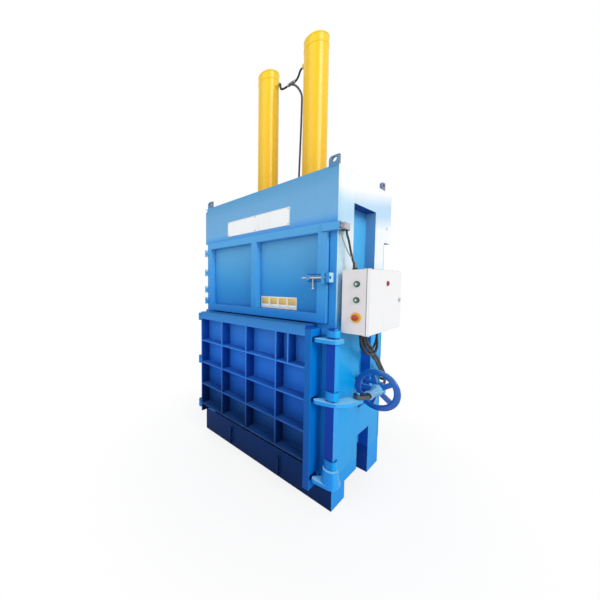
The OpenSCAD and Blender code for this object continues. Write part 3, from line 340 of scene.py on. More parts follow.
@dataclass(frozen=True)
class Paint:
    """Sprayed enamel on steel with worn corners. Dust lies on its tops, where a paler colour is a painted
    highlight; its colours also paint light and shade: darker towards the bottom, a lit right side and shaded
    recesses.
    """

    name: str
    # Front colours by height: painted shade that darkens towards the bottom.
    shades: Shades
    # Painted light and shade: faces to the right take their own copies of the paint, lit on most parts,
    # shaded on the lower door, and bleached to a painted glare of white high on the wall.
    side: Shades = ()
    lit_side_from: float = -9.0
    lit_side_edge: Shades = ()
    edge_span: tuple[float, float] = (-0.12, -0.40)
    # Tilts the painted glare band across the right side, rising towards the back.
    glare_slant: float = 0.0
    # Painted light and shade on the back wall of the side recesses, darker near their top.
    panel: Shades = ()
    panel_span: tuple[float, float] = (0.60, 0.71)
    # Painted shade on the recesses' walls that face the front.
    reveal_shade: Shades = ()
    reveal_shade_from: float = -0.40
    # Painted shade on the recesses' undersides.
    ceiling_shade: str = ""
    inside_span: tuple[float, float] = (0.60, 0.65)
    # Dust on up-facing surfaces; where its colour is paler than the paint, as on the claws and the wheel, it
    # is a painted highlight on the tops.
    dust_and_top_light: float = 0.25
    dust_and_top_light_shade: str = "#4a5a78"
    rough: float = 0.40
    worn: float = 0.35
    worn_shade: str = "#9fc4e8"
    mottle: float = 0.10
    mottle_shade: str = "#c8d2dc"
    corner: float = 0.004
    shine: float = 0.1
    slot: str = ""

    def _side_light_and_shade(self, mix: Recipe) -> Wire:
        """Colours the right side with its painted light and shade, which has its own shades near the front
        edge.

        Args:
            mix: The material that is being put together.

        Returns:
            The side's colour.
        """
        skin = mix.heights(self.side, self.glare_slant)
        if self.lit_side_edge:
            near = mix.part(mix.place, "Y").span(*self.edge_span)
            skin = mix.blend(near, skin, mix.heights(self.lit_side_edge))
        return skin

    def _areas(self, mix: Recipe) -> Wire:
        """Colours the front, the right side, and the recesses in that side, painting light on the right side
        and shade in the recesses and towards the bottom.

        Args:
            mix: The material that is being put together.

        Returns:
            The colour before dust and wear.
        """
        # Painted shade: the colour darkens towards the bottom.
        colour = mix.heights(self.shades)
        right = mix.part(mix.facing, "X").span(*TOWARDS)
        x = mix.part(mix.place, "X")
        inside = x.span(*self.inside_span)
        # Painted light and shade: faces to the right take their own copies of the paint.
        if self.side:
            there = x.span(self.lit_side_from - SIDE_FADE, self.lit_side_from)
            colour = mix.blend(right * there, colour, self._side_light_and_shade(mix))
        # Painted light and shade on the recess's back wall.
        if self.panel:
            low, high = self.panel_span
            deep = x.span(low, low + FADE) * x.span(high + FADE, high)
            colour = mix.blend(right * deep, colour, mix.heights(self.panel))
        # Painted shade on the recess's walls that face the front.
        if self.reveal_shade:
            inward = mix.part(mix.facing, "Y").span(*AGAINST)
            behind = mix.part(mix.place, "Y").span(self.reveal_shade_from - FADE, self.reveal_shade_from)
            colour = mix.blend(inward * behind * inside, colour, mix.heights(self.reveal_shade))
        # Painted shade under the recess's top.
        if self.ceiling_shade:
            under = mix.part(mix.facing, "Z").span(*AGAINST)
            colour = mix.blend(under * inside, colour, linear(self.ceiling_shade))
        return colour

    def make(self) -> Finish:
        """Builds the paint.

        Returns:
            The finish.
        """
        mix = Recipe(self.name)
        soft, mask = mix.corners(self.corner)
        colour = self._areas(mix)
        broad = mix.noise(scale=1.3, detail=2.0)
        cloudy = mix.noise(scale=11.0, detail=5.0)
        streaks = mix.noise(scale=16.0, detail=4.0, stretch=(1.0, 1.0, 0.08))
        tone = (broad * 0.6 + cloudy * 0.25 + streaks * 0.35).span(0.38, 0.86)
        dark = mix.blend(1.0, colour, linear(self.mottle_shade), "MULTIPLY")
        colour = mix.blend(tone * self.mottle * 3.0, colour, dark)
        # Dust and painted highlight: up-facing surfaces take the colour for the tops, which on the claws and
        # the wheel is paler than the paint.
        up = mix.part(mix.facing, "Z").span(*UPWARDS)
        specks = mix.noise(scale=60.0, detail=6.0)
        lying = up * (0.45 + specks * 0.7 + broad * 0.2)
        colour = mix.blend(lying * self.dust_and_top_light, colour, linear(self.dust_and_top_light_shade))
        patches = mix.noise(scale=34.0, detail=6.0) + mix.noise(scale=5.0, detail=2.0) * 0.5
        chips = mask * patches.span(0.62, 0.9)
        colour = mix.blend(chips * self.worn, colour, linear(self.worn_shade))
        rough = self.rough + cloudy * 0.14 + lying * self.dust_and_top_light * 0.35 - 0.07
        peel = mix.noise(scale=330.0, detail=2.0)
        waves = mix.noise(scale=7.0, detail=2.0)
        surface = {"Base Color": colour, "Roughness": rough, "Specular IOR Level": self.shine,
                   "Coat Weight": 0.03, "Coat Roughness": 0.2}
        return Finish(mix.finish(surface, [(waves, 0.25, 0.004), (peel, 0.12, 0.0006)], soft), self.slot)


@dataclass(frozen=True)
class Metal:
    """Bare or plated steel with fine machining marks."""

    name: str
    shade: str = "#b9bcc0"
    rough: float = 0.28
    marks: Point = (1.0, 1.0, 14.0)
    stain: str = "#6d6a66"
    corner: float = 0.0015
    slot: str = "bright_steel"

    def make(self) -> Finish:
        """Builds the metal.

        Returns:
            The finish.
        """
        mix = Recipe(self.name)
        soft, mask = mix.corners(self.corner)
        lines = mix.noise(scale=90.0, stretch=self.marks)
        film = mix.noise(scale=14.0, detail=5.0).span(0.5, 0.85)
        colour = mix.blend(film * 0.35, linear(self.shade), linear(self.stain))
        colour = mix.blend(lines * 0.16, colour, linear("#ffffff"))
        rough = self.rough + lines * 0.12 + film * 0.16 - mask * 0.08
        surface = {"Base Color": colour, "Roughness": rough, "Metallic": 1.0}
        return Finish(mix.finish(surface, [(lines, 0.1, 0.0004)], soft), self.slot)


@dataclass(frozen=True)
class Moulding:
    """Moulded plastic or rubber with a fine grain."""

    name: str
    shade: str
    slot: str
    rough: float = 0.5
    grain: float = 500.0
    depth: float = 0.0003
    bleach: float = 0.12
    bleach_shade: str = "#b8b8b4"
    corner: float = 0.001
    coat: float = 0.0

    def make(self) -> Finish:
        """Builds the moulded material.

        Returns:
            The finish.
        """
        mix = Recipe(self.name)
        soft, mask = mix.corners(self.corner)
        haze = mix.noise(scale=22.0, detail=5.0)
        grain = mix.noise(scale=self.grain, detail=2.0)
        pale = mix.blend(0.5, linear(self.shade), linear(self.bleach_shade))
        faded = (haze.span(0.45, 0.8) + mask * 0.5) * self.bleach
        surface = {"Base Color": mix.blend(faded, linear(self.shade), pale),
                   "Roughness": self.rough + haze * 0.12 - 0.05 + grain * 0.05,
                   "Coat Weight": self.coat, "Coat Roughness": 0.1}
        return Finish(mix.finish(surface, [(grain, 0.2, self.depth)], soft), self.slot)


@dataclass(frozen=True)
class Powder:
    """Powder coat on thin sheet, with a fine even texture, a little grime and a painted highlight along its
    corners.
    """

    name: str
    shade: str
    grime: str = "#a09a8c"
    rough: float = 0.42
    dirt: float = 0.25
    corner: float = 0.003
    slot: str = ""

    def make(self) -> Finish:
        """Builds the powder coat.

        Returns:
            The finish.
        """
        mix = Recipe(self.name)
        soft, mask = mix.corners(self.corner)
        broad = mix.noise(scale=4.5, detail=5.0) * 0.6
        smear = (broad + mix.noise(scale=19.0, detail=4.0, stretch=(1.0, 1.0, 0.25)) * 0.4).span(0.48, 0.8)
        colour = mix.blend(smear * self.dirt, linear(self.shade), linear(self.grime))
        # Painted highlight: every corner is lightened towards white.
        colour = mix.blend(mask * 0.25, colour, linear("#ffffff"))
        grain = mix.noise(scale=620.0, detail=2.0)
        surface = {"Base Color": colour, "Roughness": self.rough + smear * 0.12,
                   "Coat Weight": 0.1, "Coat Roughness": 0.25}
        return Finish(mix.finish(surface, [(grain, 0.22, 0.0003)], soft), self.slot)


class Palette:
    """Every finish on the machine, made once."""

    def __init__(self) -> None:
        """Builds the finishes."""
        self._body()
        self._doors()
        self._lock()
        self._power()
        self._sheets()
        self._fittings()

    def _body(self) -> None:
        """Mixes the body's enamels, whose right side fades to white where light falls on it, whose front
        darkens towards the bottom in painted shade, and whose recesses carry painted light and shade.
        """
        # Painted light on the right side, turning to a painted glare of white towards the top.
        lit_side_wall = ((0.0, "#0090d4"), (0.9, "#00a4ea"), (1.33, "#28aef0"), (1.5, "#bce0f8"),
                     (1.75, "#f4f7f8"), (2.0, "#f2f6f8"), (2.12, "#bcdcf2"), (2.2, "#bcdcf2"),
                     (2.32, "#fafafa"))
        lit_side_top = ((2.0, "#c4e0ec"), (2.15, "#b4dcf2"), (2.26, "#c8e6f6"), (2.34, "#f6f8f4"))
        lit_side_edge = ((0.0, "#0096dc"), (0.9, "#00a4ea"), (1.33, "#28aef0"), (1.5, "#a8daf6"),
                     (1.8, "#ccecf6"), *lit_side_top, (2.48, "#fafafa"))
        # Painted light and shade in the side recesses: the back wall, then the darker walls that face the
        # front.
        recess = ((0.64, "#1c9ae4"), (1.34, "#24a2ea"), (1.42, "#48b0e0"), (1.8, "#50b8f0"),
                  (2.15, "#56b8f0"), (2.27, "#4084c4"))
        depth = ((0.14, "#0c44a4"), (0.64, "#1458b8"), (1.34, "#2880e4"), (1.42, "#4c94cc"),
                 (2.27, "#70a8d4"))
        # Painted shade: the front darkens towards the bottom.
        front = ((0.0, "#0e5cb0"), (0.9, "#1c84d4"), (1.5, "#2a88d0"), (2.1, "#4298d8"), (2.4, "#56a4de"))
        self.body = Paint("body_enamel", front, side=lit_side_wall, lit_side_edge=lit_side_edge, glare_slant=0.16, panel=recess,
                          reveal_shade=depth, ceiling_shade="#123f8c", mottle=0.05, slot="blue_paint").make()
        header = ((2.09, "#4a9ce6"), (2.16, "#72aedc"), (2.35, "#70aad4"), (2.48, "#5c9ecc"))
        # The header's right end takes the same painted glare of white.
        self.header = Paint("header_enamel", header, side=(*lit_side_top, (2.5, "#fafafa")), mottle=0.05).make()
        # Painted shade on the base's near-black front; its right side is painted light.
        self.base = Paint("base_enamel", ((0.0, "#04204c"), (0.24, "#0a2f66")),
                          side=((0.0, "#088cdc"), (0.135, "#0c92de"), (0.24, "#0498e2")), lit_side_from=0.70,
                          reveal_shade=((0.0, "#0a3c94"), (0.24, "#0c409c")), dust_and_top_light=0.6, dust_and_top_light_shade="#163464",
                          shine=0.04).make()
        self.lug = Paint("lug_enamel", ((2.4, "#5a86b0"), (2.7, "#7496b8")),
                         side=((2.4, "#8a889c"), (2.7, "#8a889c")), dust_and_top_light=0.1, worn=0.1).make()
        # Dark enamel for parts inside the body: painted shade.
        self.inner = Paint("shaded_inner_enamel", ((0.0, "#123f88"), (2.5, "#1c5cac")), dust_and_top_light=0.5,
                           slot="light_blue_paint").make()

    def _doors(self) -> None:
        """Mixes the enamels of both doors and of the lock post, with painted shade that deepens towards the
        bottom, and own colours for the faces to the right: shaded on the lower door, lit on the feed door and
        the post.
        """
        self.feed = Paint("feed_door_enamel", ((1.38, "#2480d2"), (1.55, "#3c94d6"), (2.1, "#5aa6de")),
                          side=((1.38, "#3a9ce0"), (2.1, "#63b8f0")), mottle=0.07, dust_and_top_light=0.3,
                          dust_and_top_light_shade="#5c86b8").make()
        self.sheet = Paint("feed_sheet_enamel", ((1.38, "#247cc8"), (1.62, "#3490d2"), (2.1, "#6cb4de")),
                           mottle=0.08, worn=0.1, dust_and_top_light_shade="#5c86b8").make()
        # Painted shade: the lower door darkens to near black towards the floor, on its front and on its faces
        # to the right.
        door = ((0.3, "#0a2458"), (0.49, "#144280"), (0.72, "#1c60c0"), (0.95, "#2c7ade"), (1.25, "#3a86de"),
                (1.337, "#3880c4"), (1.37, "#367ab8"))
        self.door = Paint("main_door_enamel", door,
                          side=((0.3, "#06143a"), (0.6, "#082660"), (1.0, "#0c3c90"), (1.37, "#1858b0")),
                          dust_and_top_light=0.5, dust_and_top_light_shade="#24508c", mottle=0.08, shine=0.06,
                          slot="deep_blue_paint").make()
        self.post = Paint("lock_post_enamel", ((0.2, "#044a9c"), (1.4, "#0e68b8")),
                          side=((0.2, "#0070c8"), (0.8, "#007cd6"), (1.4, "#048ae4")), dust_and_top_light=0.2,
                          worn=0.15).make()

    def _lock(self) -> None:
        """Mixes the enamels of the claw lock, whose faces to the right take lit copies of the paint and whose
        fronts take shaded ones.
        """
        # The claws' pale cyan tops are a painted highlight, set through the colour for up-facing surfaces.
        self.claw = Paint("claw_enamel", ((0.2, "#1c80d4"), (1.4, "#2c94e0")),
                          side=((0.2, "#2a9ce8"), (1.4, "#4ab0ec")), dust_and_top_light=1.45, dust_and_top_light_shade="#86d2f2",
                          rough=0.3, worn=0.2, slot="blue_paint").make()
        self.shaft = Paint("shaft_enamel", ((0.2, "#002c88"), (0.6, "#003698"), (1.4, "#0444ac")),
                           side=((0.2, "#1c8cda"), (0.8, "#22a0ea"), (1.4, "#22a4ee")), mottle=0.05).make()
        # The wheel's pale blue tops are a painted highlight, set through the colour for up-facing surfaces.
        self.wheel = Paint("wheel_enamel", ((0.6, "#124ca4"), (1.1, "#1a68b8")), rough=0.16, dust_and_top_light=1.1,
                           dust_and_top_light_shade="#6cb4e0", worn=0.8, mottle=0.08, shine=0.5,
                           slot="deep_blue_paint").make()
        # The hub's pale enamel is a painted highlight on a deep blue part.
        self.hub = Paint("hub_highlight_enamel", ((0.6, "#6cb0dc"), (1.1, "#84c4e6")), rough=0.25, dust_and_top_light=0.1, shine=0.4,
                         slot="deep_blue_paint").make()

    def _power(self) -> None:
        """Mixes the enamels of the cylinders and of the power unit."""
        self.yellow = Paint("cylinder_enamel", ((2.4, "#f8c020"), (3.2, "#f8c61a"), (3.9, "#fbd010")),
                            rough=0.28, worn=0.05, worn_shade="#f7e2a0", mottle=0.05, dust_and_top_light=0.1,
                            dust_and_top_light_shade="#c9a24a", shine=0.35, slot="yellow_paint").make()
        self.motor = Paint("motor_enamel", ((2.2, "#3a6494"), (2.6, "#426c9c")), dust_and_top_light=0.5,
                           slot="motor_paint").make()
        self.tank = Paint("tank_enamel", ((2.2, "#1a4e94"), (2.6, "#2056a0")), dust_and_top_light=0.5).make()
        self.pipe = Paint("pipe_lacquer", ((2.3, "#4b5560"), (3.9, "#59636d")), rough=0.35,
                          worn_shade="#8a929a", slot="pipe_steel").make()

    def _sheets(self) -> None:
        """Mixes the powder coats, the bare plates and the label."""
        self.cabinet = Powder("cabinet_powder", "#dbd7d7").make()
        self.lid = Powder("cabinet_lid_powder", "#ecebeb", "#c4c8cc", dirt=0.2).make()
        self.switch_box = Powder("switch_box_powder", "#b9b2ba", "#7c7880", dirt=0.5,
                                 slot="grey_paint").make()
        self.plate = Powder("plate_lacquer", "#f1f2f2", "#c9ccd0", 0.3, 0.3, slot="white_plate").make()
        self.border = Powder("plate_border", "#cfd6de", "#a8aeb6", 0.35, slot="white_plate").make()
        self.cream = Powder("cream_label", "#efe8cf", "#c2b48c", 0.35).make()
        self.field = Powder("yellow_field", "#d8b868", "#a8905a", 0.35, slot="cream_plate").make()
        self.pale_field = Powder("pale_field", "#dfeaf2", "#b6c6d2", 0.35, slot="cream_plate").make()

    def _fittings(self) -> None:
        """Mixes the bare metals, plastics and rubbers."""
        self.steel = Metal("turned_steel").make()
        self.bright = Metal("bright_steel", "#a4a8ae", 0.2, (14.0, 1.0, 1.0)).make()
        self.chrome = Metal("rod_chrome", "#d6d8dc", 0.08, stain="#b4b4b4").make()
        self.zinc = Metal("zinc_plate", "#b4b2a6", 0.36, (1.0, 1.0, 1.0)).make()
        self.iron = Metal("dark_fitting", "#3c3f44", 0.42, slot="dark_steel").make()
        self.rubber = Moulding("cable_rubber", "#15161a", "black_rubber", bleach=0.3).make()
        self.grey_lead = Moulding("lead_jacket", "#8f969c", "grey_plastic", 0.45).make()
        self.black = Moulding("black_plastic", "#1c1d20", "black_plastic").make()
        self.green = Moulding("green_cap", "#3c7460", "green_plastic", 0.3, coat=0.3).make()
        self.red = Moulding("red_cap", "#a82a1c", "red_plastic", 0.3, coat=0.2).make()
        self.lens = Moulding("lamp_lens", "#92102c", "red_plastic", 0.4, coat=0.1).make()
        self.ring = Moulding("yellow_ring", "#e8b440", "", 0.35, coat=0.1).make()


# Meshes


def spot(x: float, y: float, z: float) -> Point:
    """Turns millimetres, with y counted back from the body's front, into the machine's frame."""
    return x / 1000, y / 1000 - FRONT_PLANE, z / 1000


def circle(sides: int, radius: float = 1.0) -> list[tuple[float, float]]:
    """Places points evenly on a circle round the origin.

    Args:
        sides: How many points there are.
        radius: The circle's radius.

    Returns:
        The points.
    """
    angles = [math.tau * k / sides for k in range(sides)]
    return [(radius * math.cos(angle), radius * math.sin(angle)) for angle in angles]


def smooth_path(points: Sequence[Point], steps: int = 8) -> list[Vector]:
    """Runs a smooth curve through a cable's or pipe's points.

    Args:
        points: The points, in millimetres.
        steps: How many steps lie between two of them.

    Returns:
        The points of the curve, in the machine's frame.
    """
    stops = [Vector(spot(*point)) for point in points]
    last = len(stops) - 1
    path = []
    for i in range(last):
        a, b, c, d = (stops[max(0, min(k, last))] for k in (i - 1, i, i + 1, i + 2))
        for step in range(steps):
            t = step / steps
            path.append(0.5 * (2 * b + (c - a) * t + (2 * a - 5 * b + 4 * c - d) * t ** 2
                               + (3 * b - a - 3 * c + d) * t ** 3))
    return path + [stops[-1]]


def put(name: str, data: bpy.types.ID) -> bpy.types.Object:
    """Adds an object to the scene.

    Args:
        name: What the object is called.
        data: Its mesh, camera or lamp.

    Returns:
        The object.
    """
    made = bpy.data.objects.new(name, data)
    bpy.context.scene.collection.objects.link(made)
    return made


def place_piece(data: bpy.types.Mesh, name: str, finish: Finish, body: str,
                nodes: Sequence[str]) -> bpy.types.Object:
    """Puts a finished mesh on the machine.

    Args:
        data: The mesh, in the machine's frame.
        name: The piece's name.
        finish: Its finish.
        body: The body that it moves with.
        nodes: The solids that it stands for.

    Returns:
        The piece.
    """
    data.shade_smooth()
    data.set_sharp_from_angle(angle=math.radians(SHARP))
    data.materials.clear()
    data.materials.append(finish.material)
    made = put(name, data)
    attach(made, body)
    if nodes:
        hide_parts(*nodes)
    LOG.info("%s: %d faces on %s", name, len(data.polygons), body)
    return made


class Stock:
    """Shapes gathered into one mesh, in metres in the machine's frame."""

    def __init__(self) -> None:
        """Starts with no shape."""
        self.mesh = bmesh.new()

    def _skin(self, rings: Sequence[list[bmesh.types.BMVert]], ends: bool = True) -> None:
        """Joins rings of corners with faces.

        Args:
            rings: The rings, of which one with a single corner is a tip.
            ends: Whether the first and the last ring are closed.
        """
        sides = max(len(ring) for ring in rings)
        for low, high in zip(rings, rings[1:]):
            for k in range(sides):
                j = (k + 1) % sides
                corners = (low[k % len(low)], low[j % len(low)], high[j % len(high)], high[k % len(high)])
                unique = list(dict.fromkeys(corners))
                if len(unique) > 2:
                    self.mesh.faces.new(unique)
        if ends:
            self.mesh.faces.new(reversed(rings[0]))
            self.mesh.faces.new(rings[-1])

    def turned(self, profile: Sequence[tuple[float, float]], at: Point, way: Way = Way.UP,
               sides: int = 64) -> "Stock":
        """Adds a turned shape.

        Args:
            profile: Radius and place along the axis, from one end to the other.
            at: Where the axis starts.
            way: The axis.
            sides: How many faces lie round it.

        Returns:
            This stock.
        """
        place = Matrix.Translation(at) @ way.turn
        rings = []
        for radius, along in profile:
            corners = circle(sides, radius) if radius else [(0.0, 0.0)]
            rings.append([self.mesh.verts.new(place @ Vector((a, b, along))) for a, b in corners])
        self._skin(rings, ends=False)
        return self

    def block(self, low: Point, high: Point, round_off: float = 0.0) -> "Stock":
        """Adds a box.

        Args:
            low: Its lowest corner.
            high: Its highest corner.
            round_off: How much its edges are rounded.

        Returns:
            This stock.
        """
        size = [b - a for a, b in zip(low, high)]
        middle = [(a + b) / 2 for a, b in zip(low, high)]
        place = Matrix.Translation(middle) @ Matrix.Diagonal((*size, 1))
        made = bmesh.ops.create_cube(self.mesh, size=1, matrix=place)
        if round_off:
            edges = list({edge for corner in made["verts"] for edge in corner.link_edges})
            bmesh.ops.bevel(self.mesh, geom=edges, offset=round_off, segments=2, profile=0.7, affect="EDGES")
        return self

    def tube(self, path: Sequence[Vector], radius: float, sides: int = 20) -> "Stock":
        """Adds a round tube with closed ends.

        Args:
            path: The points that it runs through.
            radius: Its radius.
            sides: How many faces lie round it.

        Returns:
            This stock.
        """
        last = len(path) - 1
        heads = [(path[min(i + 1, last)] - path[max(i - 1, 0)]).normalized() for i in range(last + 1)]
        side = Vector((1, 0, 0)) if abs(heads[0].z) > 0.9 else Vector((0, 0, 1))
        rings = []
        for point, head in zip(path, heads):
            side = (side - side.dot(head) * head).normalized()
            other = head.cross(side)
            corners = [point + radius * (a * side + b * other) for a, b in circle(sides)]
            rings.append([self.mesh.verts.new(corner) for corner in corners])
        self._skin(rings)
        return self

    def slab(self, outline: Sequence[tuple[float, float]], at: Point, thick: float) -> "Stock":
        """Adds a flat plate that faces the front, from millimetres.

        Args:
            outline: Its corners, to the right and up.
            at: The middle of its front face.
            thick: Its thickness.

        Returns:
            This stock.
        """
        x, y, z = at
        self._skin([[self.mesh.verts.new(spot(x + a, level, z + b)) for a, b in outline]
                    for level in (y + thick, y)])
        return self

    def piece(self, name: str, finish: Finish, body: str = "frame",
              nodes: Sequence[str] = ()) -> bpy.types.Object:
        """Turns the stock into a piece of the machine.

        Args:
            name: The piece's name.
            finish: Its finish.
            body: The body that it moves with.
            nodes: The solids that it stands for.

        Returns:
            The piece.
        """
        bmesh.ops.remove_doubles(self.mesh, verts=self.mesh.verts, dist=1e-6)
        bmesh.ops.recalc_face_normals(self.mesh, faces=self.mesh.faces)
        data = bpy.data.meshes.new(name)
        self.mesh.to_mesh(data)
        self.mesh.free()
        return place_piece(data, name, finish, body, nodes)


# Geometry Nodes


class Pattern(Tree):
    """A Geometry Nodes tree with named sizes, which is applied to points or lines."""

    def __init__(self, name: str, sizes: dict[str, float]) -> None:
        """Starts the tree.

        Args:
            name: What the pattern is called.
            sizes: Its inputs and their usual values.
        """
        super().__init__(bpy.data.node_groups.new(name, "GeometryNodeTree"))
        kinds = {key: "Int" if isinstance(value, int) else "Float" for key, value in sizes.items()}
        kinds = {"Geometry": "Geometry", **kinds, "Turn": "Vector", "Finish": "Material"}
        face = self.tree.interface
        for key, kind in kinds.items():
            made = face.new_socket(name=key, in_out="INPUT", socket_type="NodeSocket" + kind)
            if key in sizes:
                made.default_value = sizes[key]
        face.new_socket(name="Geometry", in_out="OUTPUT", socket_type="NodeSocketGeometry")
        self.given = self.tree.nodes.new("NodeGroupInput").outputs

    def take(self, kind: str, inputs: dict | None = None,
             settings: dict | None = None) -> bpy.types.NodeSocket:
        """Adds a node and takes its first output."""
        return self.node(kind, settings, inputs).outputs[0]

    def join(self, *parts: bpy.types.NodeSocket) -> bpy.types.NodeSocket:
        """Puts geometries together.

        Args:
            parts: The geometries.

        Returns:
            All of them as one.
        """
        made = self.node("GeometryNodeJoinGeometry")
        for part in parts:
            self.tree.links.new(part, made.inputs[0])
        return made.outputs[0]

    def round_axis(self, count: str, radius: str, thing: bpy.types.NodeSocket) -> bpy.types.NodeSocket:
        """Repeats a shape round the axis, turned outwards.

        Args:
            count: The size that says how many there are.
            radius: The size that says how far out they are.
            thing: The shape.

        Returns:
            All of them.
        """
        size = {"Vertices": self.given[count], "Radius": self.given[radius]}
        ring = self.take("GeometryNodeMeshCircle", size)
        place = self.take("GeometryNodeInputPosition")
        aim = self.take("FunctionNodeAlignRotationToVector", {"Vector": place}, {"axis": "X"})
        return self.take("GeometryNodeInstanceOnPoints", {"Points": ring, "Instance": thing, "Rotation": aim})

    def close(self, geometry: bpy.types.NodeSocket) -> "Pattern":
        """Ends the tree with real geometry that carries the finish.

        Args:
            geometry: What the tree has made.

        Returns:
            This pattern.
        """
        real = self.take("GeometryNodeRealizeInstances", {0: geometry})
        dressed = self.take("GeometryNodeSetMaterial", {"Geometry": real, "Material": self.given["Finish"]})
        self.node("NodeGroupOutput", None, {0: dressed})
        return self

    def apply(self, name: str, finish: Finish, body: str = "frame", points: Sequence[Point] = ((0, 0, 0),),
              edges: Sequence[tuple[int, int]] = (), sizes: dict[str, object] | None = None,
              nodes: Sequence[str] = (), turn: Matrix | None = None) -> bpy.types.Object:
        """Runs the pattern and makes its result a plain piece.

        Args:
            name: The piece's name.
            finish: Its finish.
            body: The body that it moves with.
            points: Where the pattern goes.
            edges: The lines between the points, where it follows lines.
            sizes: Values for the named inputs.
            nodes: The solids that it stands for.
            turn: A placing that the result gets.

        Returns:
            The piece.
        """
        data = bpy.data.meshes.new(name + "_lines")
        data.from_pydata([Vector(point) for point in points], edges, [])
        holder = put(name + "_lines", data)
        modifier = holder.modifiers.new(name, "NODES")
        modifier.node_group = self.tree
        values = {**(sizes or {}), "Finish": finish.material}
        for item in self.tree.interface.items_tree:
            if item.in_out == "INPUT" and item.name in values:
                modifier[item.identifier] = values[item.name]
        seen = holder.evaluated_get(bpy.context.evaluated_depsgraph_get())
        result = bpy.data.meshes.new_from_object(seen)
        bpy.data.objects.remove(holder)
        if turn is not None:
            result.transform(turn)
        result.name = name
        return place_piece(result, name, finish, body, nodes)


class Patterns:
    """The patterns that the machine's small repeated parts follow."""

    def __init__(self) -> None:
        """Builds the trees."""
        self.weld = self._weld()
        self.screws = self._screws()
        self.fins = self._fins()
        self.wheel = self._wheel()

    @staticmethod
    def _weld() -> Pattern:
        """Draws a rippled weld bead along lines.

        Returns:
            The pattern.
        """
        made = Pattern("weld_bead", {"Width": 0.007, "Ripple": 0.004, "Seed": 7})
        take, given = made.take, made.given
        curve = take("GeometryNodeMeshToCurve", {0: given["Geometry"]})
        even = take("GeometryNodeResampleCurve", {"Curve": curve, "Length": given["Ripple"]},
                    {"mode": "LENGTH"})
        thinnest, thickest = 0.72, 1.08
        lumps = made.node("FunctionNodeRandomValue", {"data_type": "FLOAT"},
                          {"Seed": given["Seed"], 2: thinnest, 3: thickest}).outputs[1]
        radius = take("ShaderNodeMath", {0: lumps, 1: given["Width"]}, {"operation": "MULTIPLY"})
        sized = take("GeometryNodeSetCurveRadius", {"Curve": even, "Radius": radius})
        ring = take("GeometryNodeCurvePrimitiveCircle", {"Resolution": 6, "Radius": 1.0})
        bead = {"Curve": sized, "Profile Curve": ring, "Scale": take("GeometryNodeInputRadius"),
                "Fill Caps": True}
        return made.close(take("GeometryNodeCurveToMesh", bead))

    @staticmethod
    def _screws() -> Pattern:
        """Puts heads on washers at points: six sides for a bolt, more for a rivet or a round head.

        Returns:
            The pattern.
        """
        made = Pattern("screws", {"Sides": 6, "Size": 0.008, "Height": 0.005, "Washer": 0.0105})
        take, given = made.take, made.given
        head = take("GeometryNodeMeshCylinder",
                    {"Vertices": given["Sides"], "Radius": given["Size"], "Depth": given["Height"]})
        lift = take("ShaderNodeCombineXYZ", {"Z": given["Height"]})
        share = 0.7
        above = take("ShaderNodeVectorMath", {0: lift, "Scale": share}, {"operation": "SCALE"})
        raised = take("GeometryNodeTransform", {"Geometry": head, "Translation": above})
        washer = take("GeometryNodeMeshCylinder", {"Vertices": 20, "Radius": given["Washer"], "Depth": 0.002})
        turn = take("FunctionNodeEulerToRotation", {0: given["Turn"]})
        placed = {"Points": given["Geometry"], "Instance": made.join(raised, washer), "Rotation": turn}
        return made.close(take("GeometryNodeInstanceOnPoints", placed))

    @staticmethod
    def _fins() -> Pattern:
        """Stands flat cooling fins round an axis.

        Returns:
            The pattern.
        """
        sizes = {"Count": 32, "Radius": 0.086, "Length": 0.24, "Height": 0.016, "Thickness": 0.003}
        made = Pattern("cooling_fins", sizes)
        take, given = made.take, made.given
        size = take("ShaderNodeCombineXYZ",
                    {"X": given["Height"], "Y": given["Thickness"], "Z": given["Length"]})
        fin = take("GeometryNodeMeshCube", {"Size": size})
        return made.close(made.round_axis("Count", "Radius", fin))

    @staticmethod
    def _wheel() -> Pattern:
        """Casts a handwheel: a flat rim with rounded edges, and broad spokes.

        Returns:
            The pattern.
        """
        sizes = {"Middle": 0.133, "Rim Width": 0.044, "Rim Thickness": 0.024, "Spokes": 5, "Reach": 0.075,
                 "Spoke Length": 0.085, "Spoke Width": 0.036, "Spoke Thickness": 0.016}
        made = Pattern("cast_wheel", sizes)
        take, given = made.take, made.given
        line = take("GeometryNodeCurvePrimitiveCircle", {"Resolution": 96, "Radius": given["Middle"]})
        flat = take("GeometryNodeCurvePrimitiveQuadrilateral",
                    {"Width": given["Rim Width"], "Height": given["Rim Thickness"]})
        soft = take("GeometryNodeFilletCurve",
                    {"Curve": flat, "Radius": 0.0105, "Limit Radius": True, "Count": 5}, {"mode": "POLY"})
        rim = take("GeometryNodeCurveToMesh", {0: line, 1: soft})
        size = take("ShaderNodeCombineXYZ", {axis: given["Spoke " + name] for axis, name in (
            ("X", "Length"), ("Y", "Width"), ("Z", "Thickness"))})
        spoke = take("GeometryNodeMeshCube", {"Size": size, "Vertices X": 6})
        return made.close(made.join(made.round_axis("Spokes", "Reach", spoke), rim))


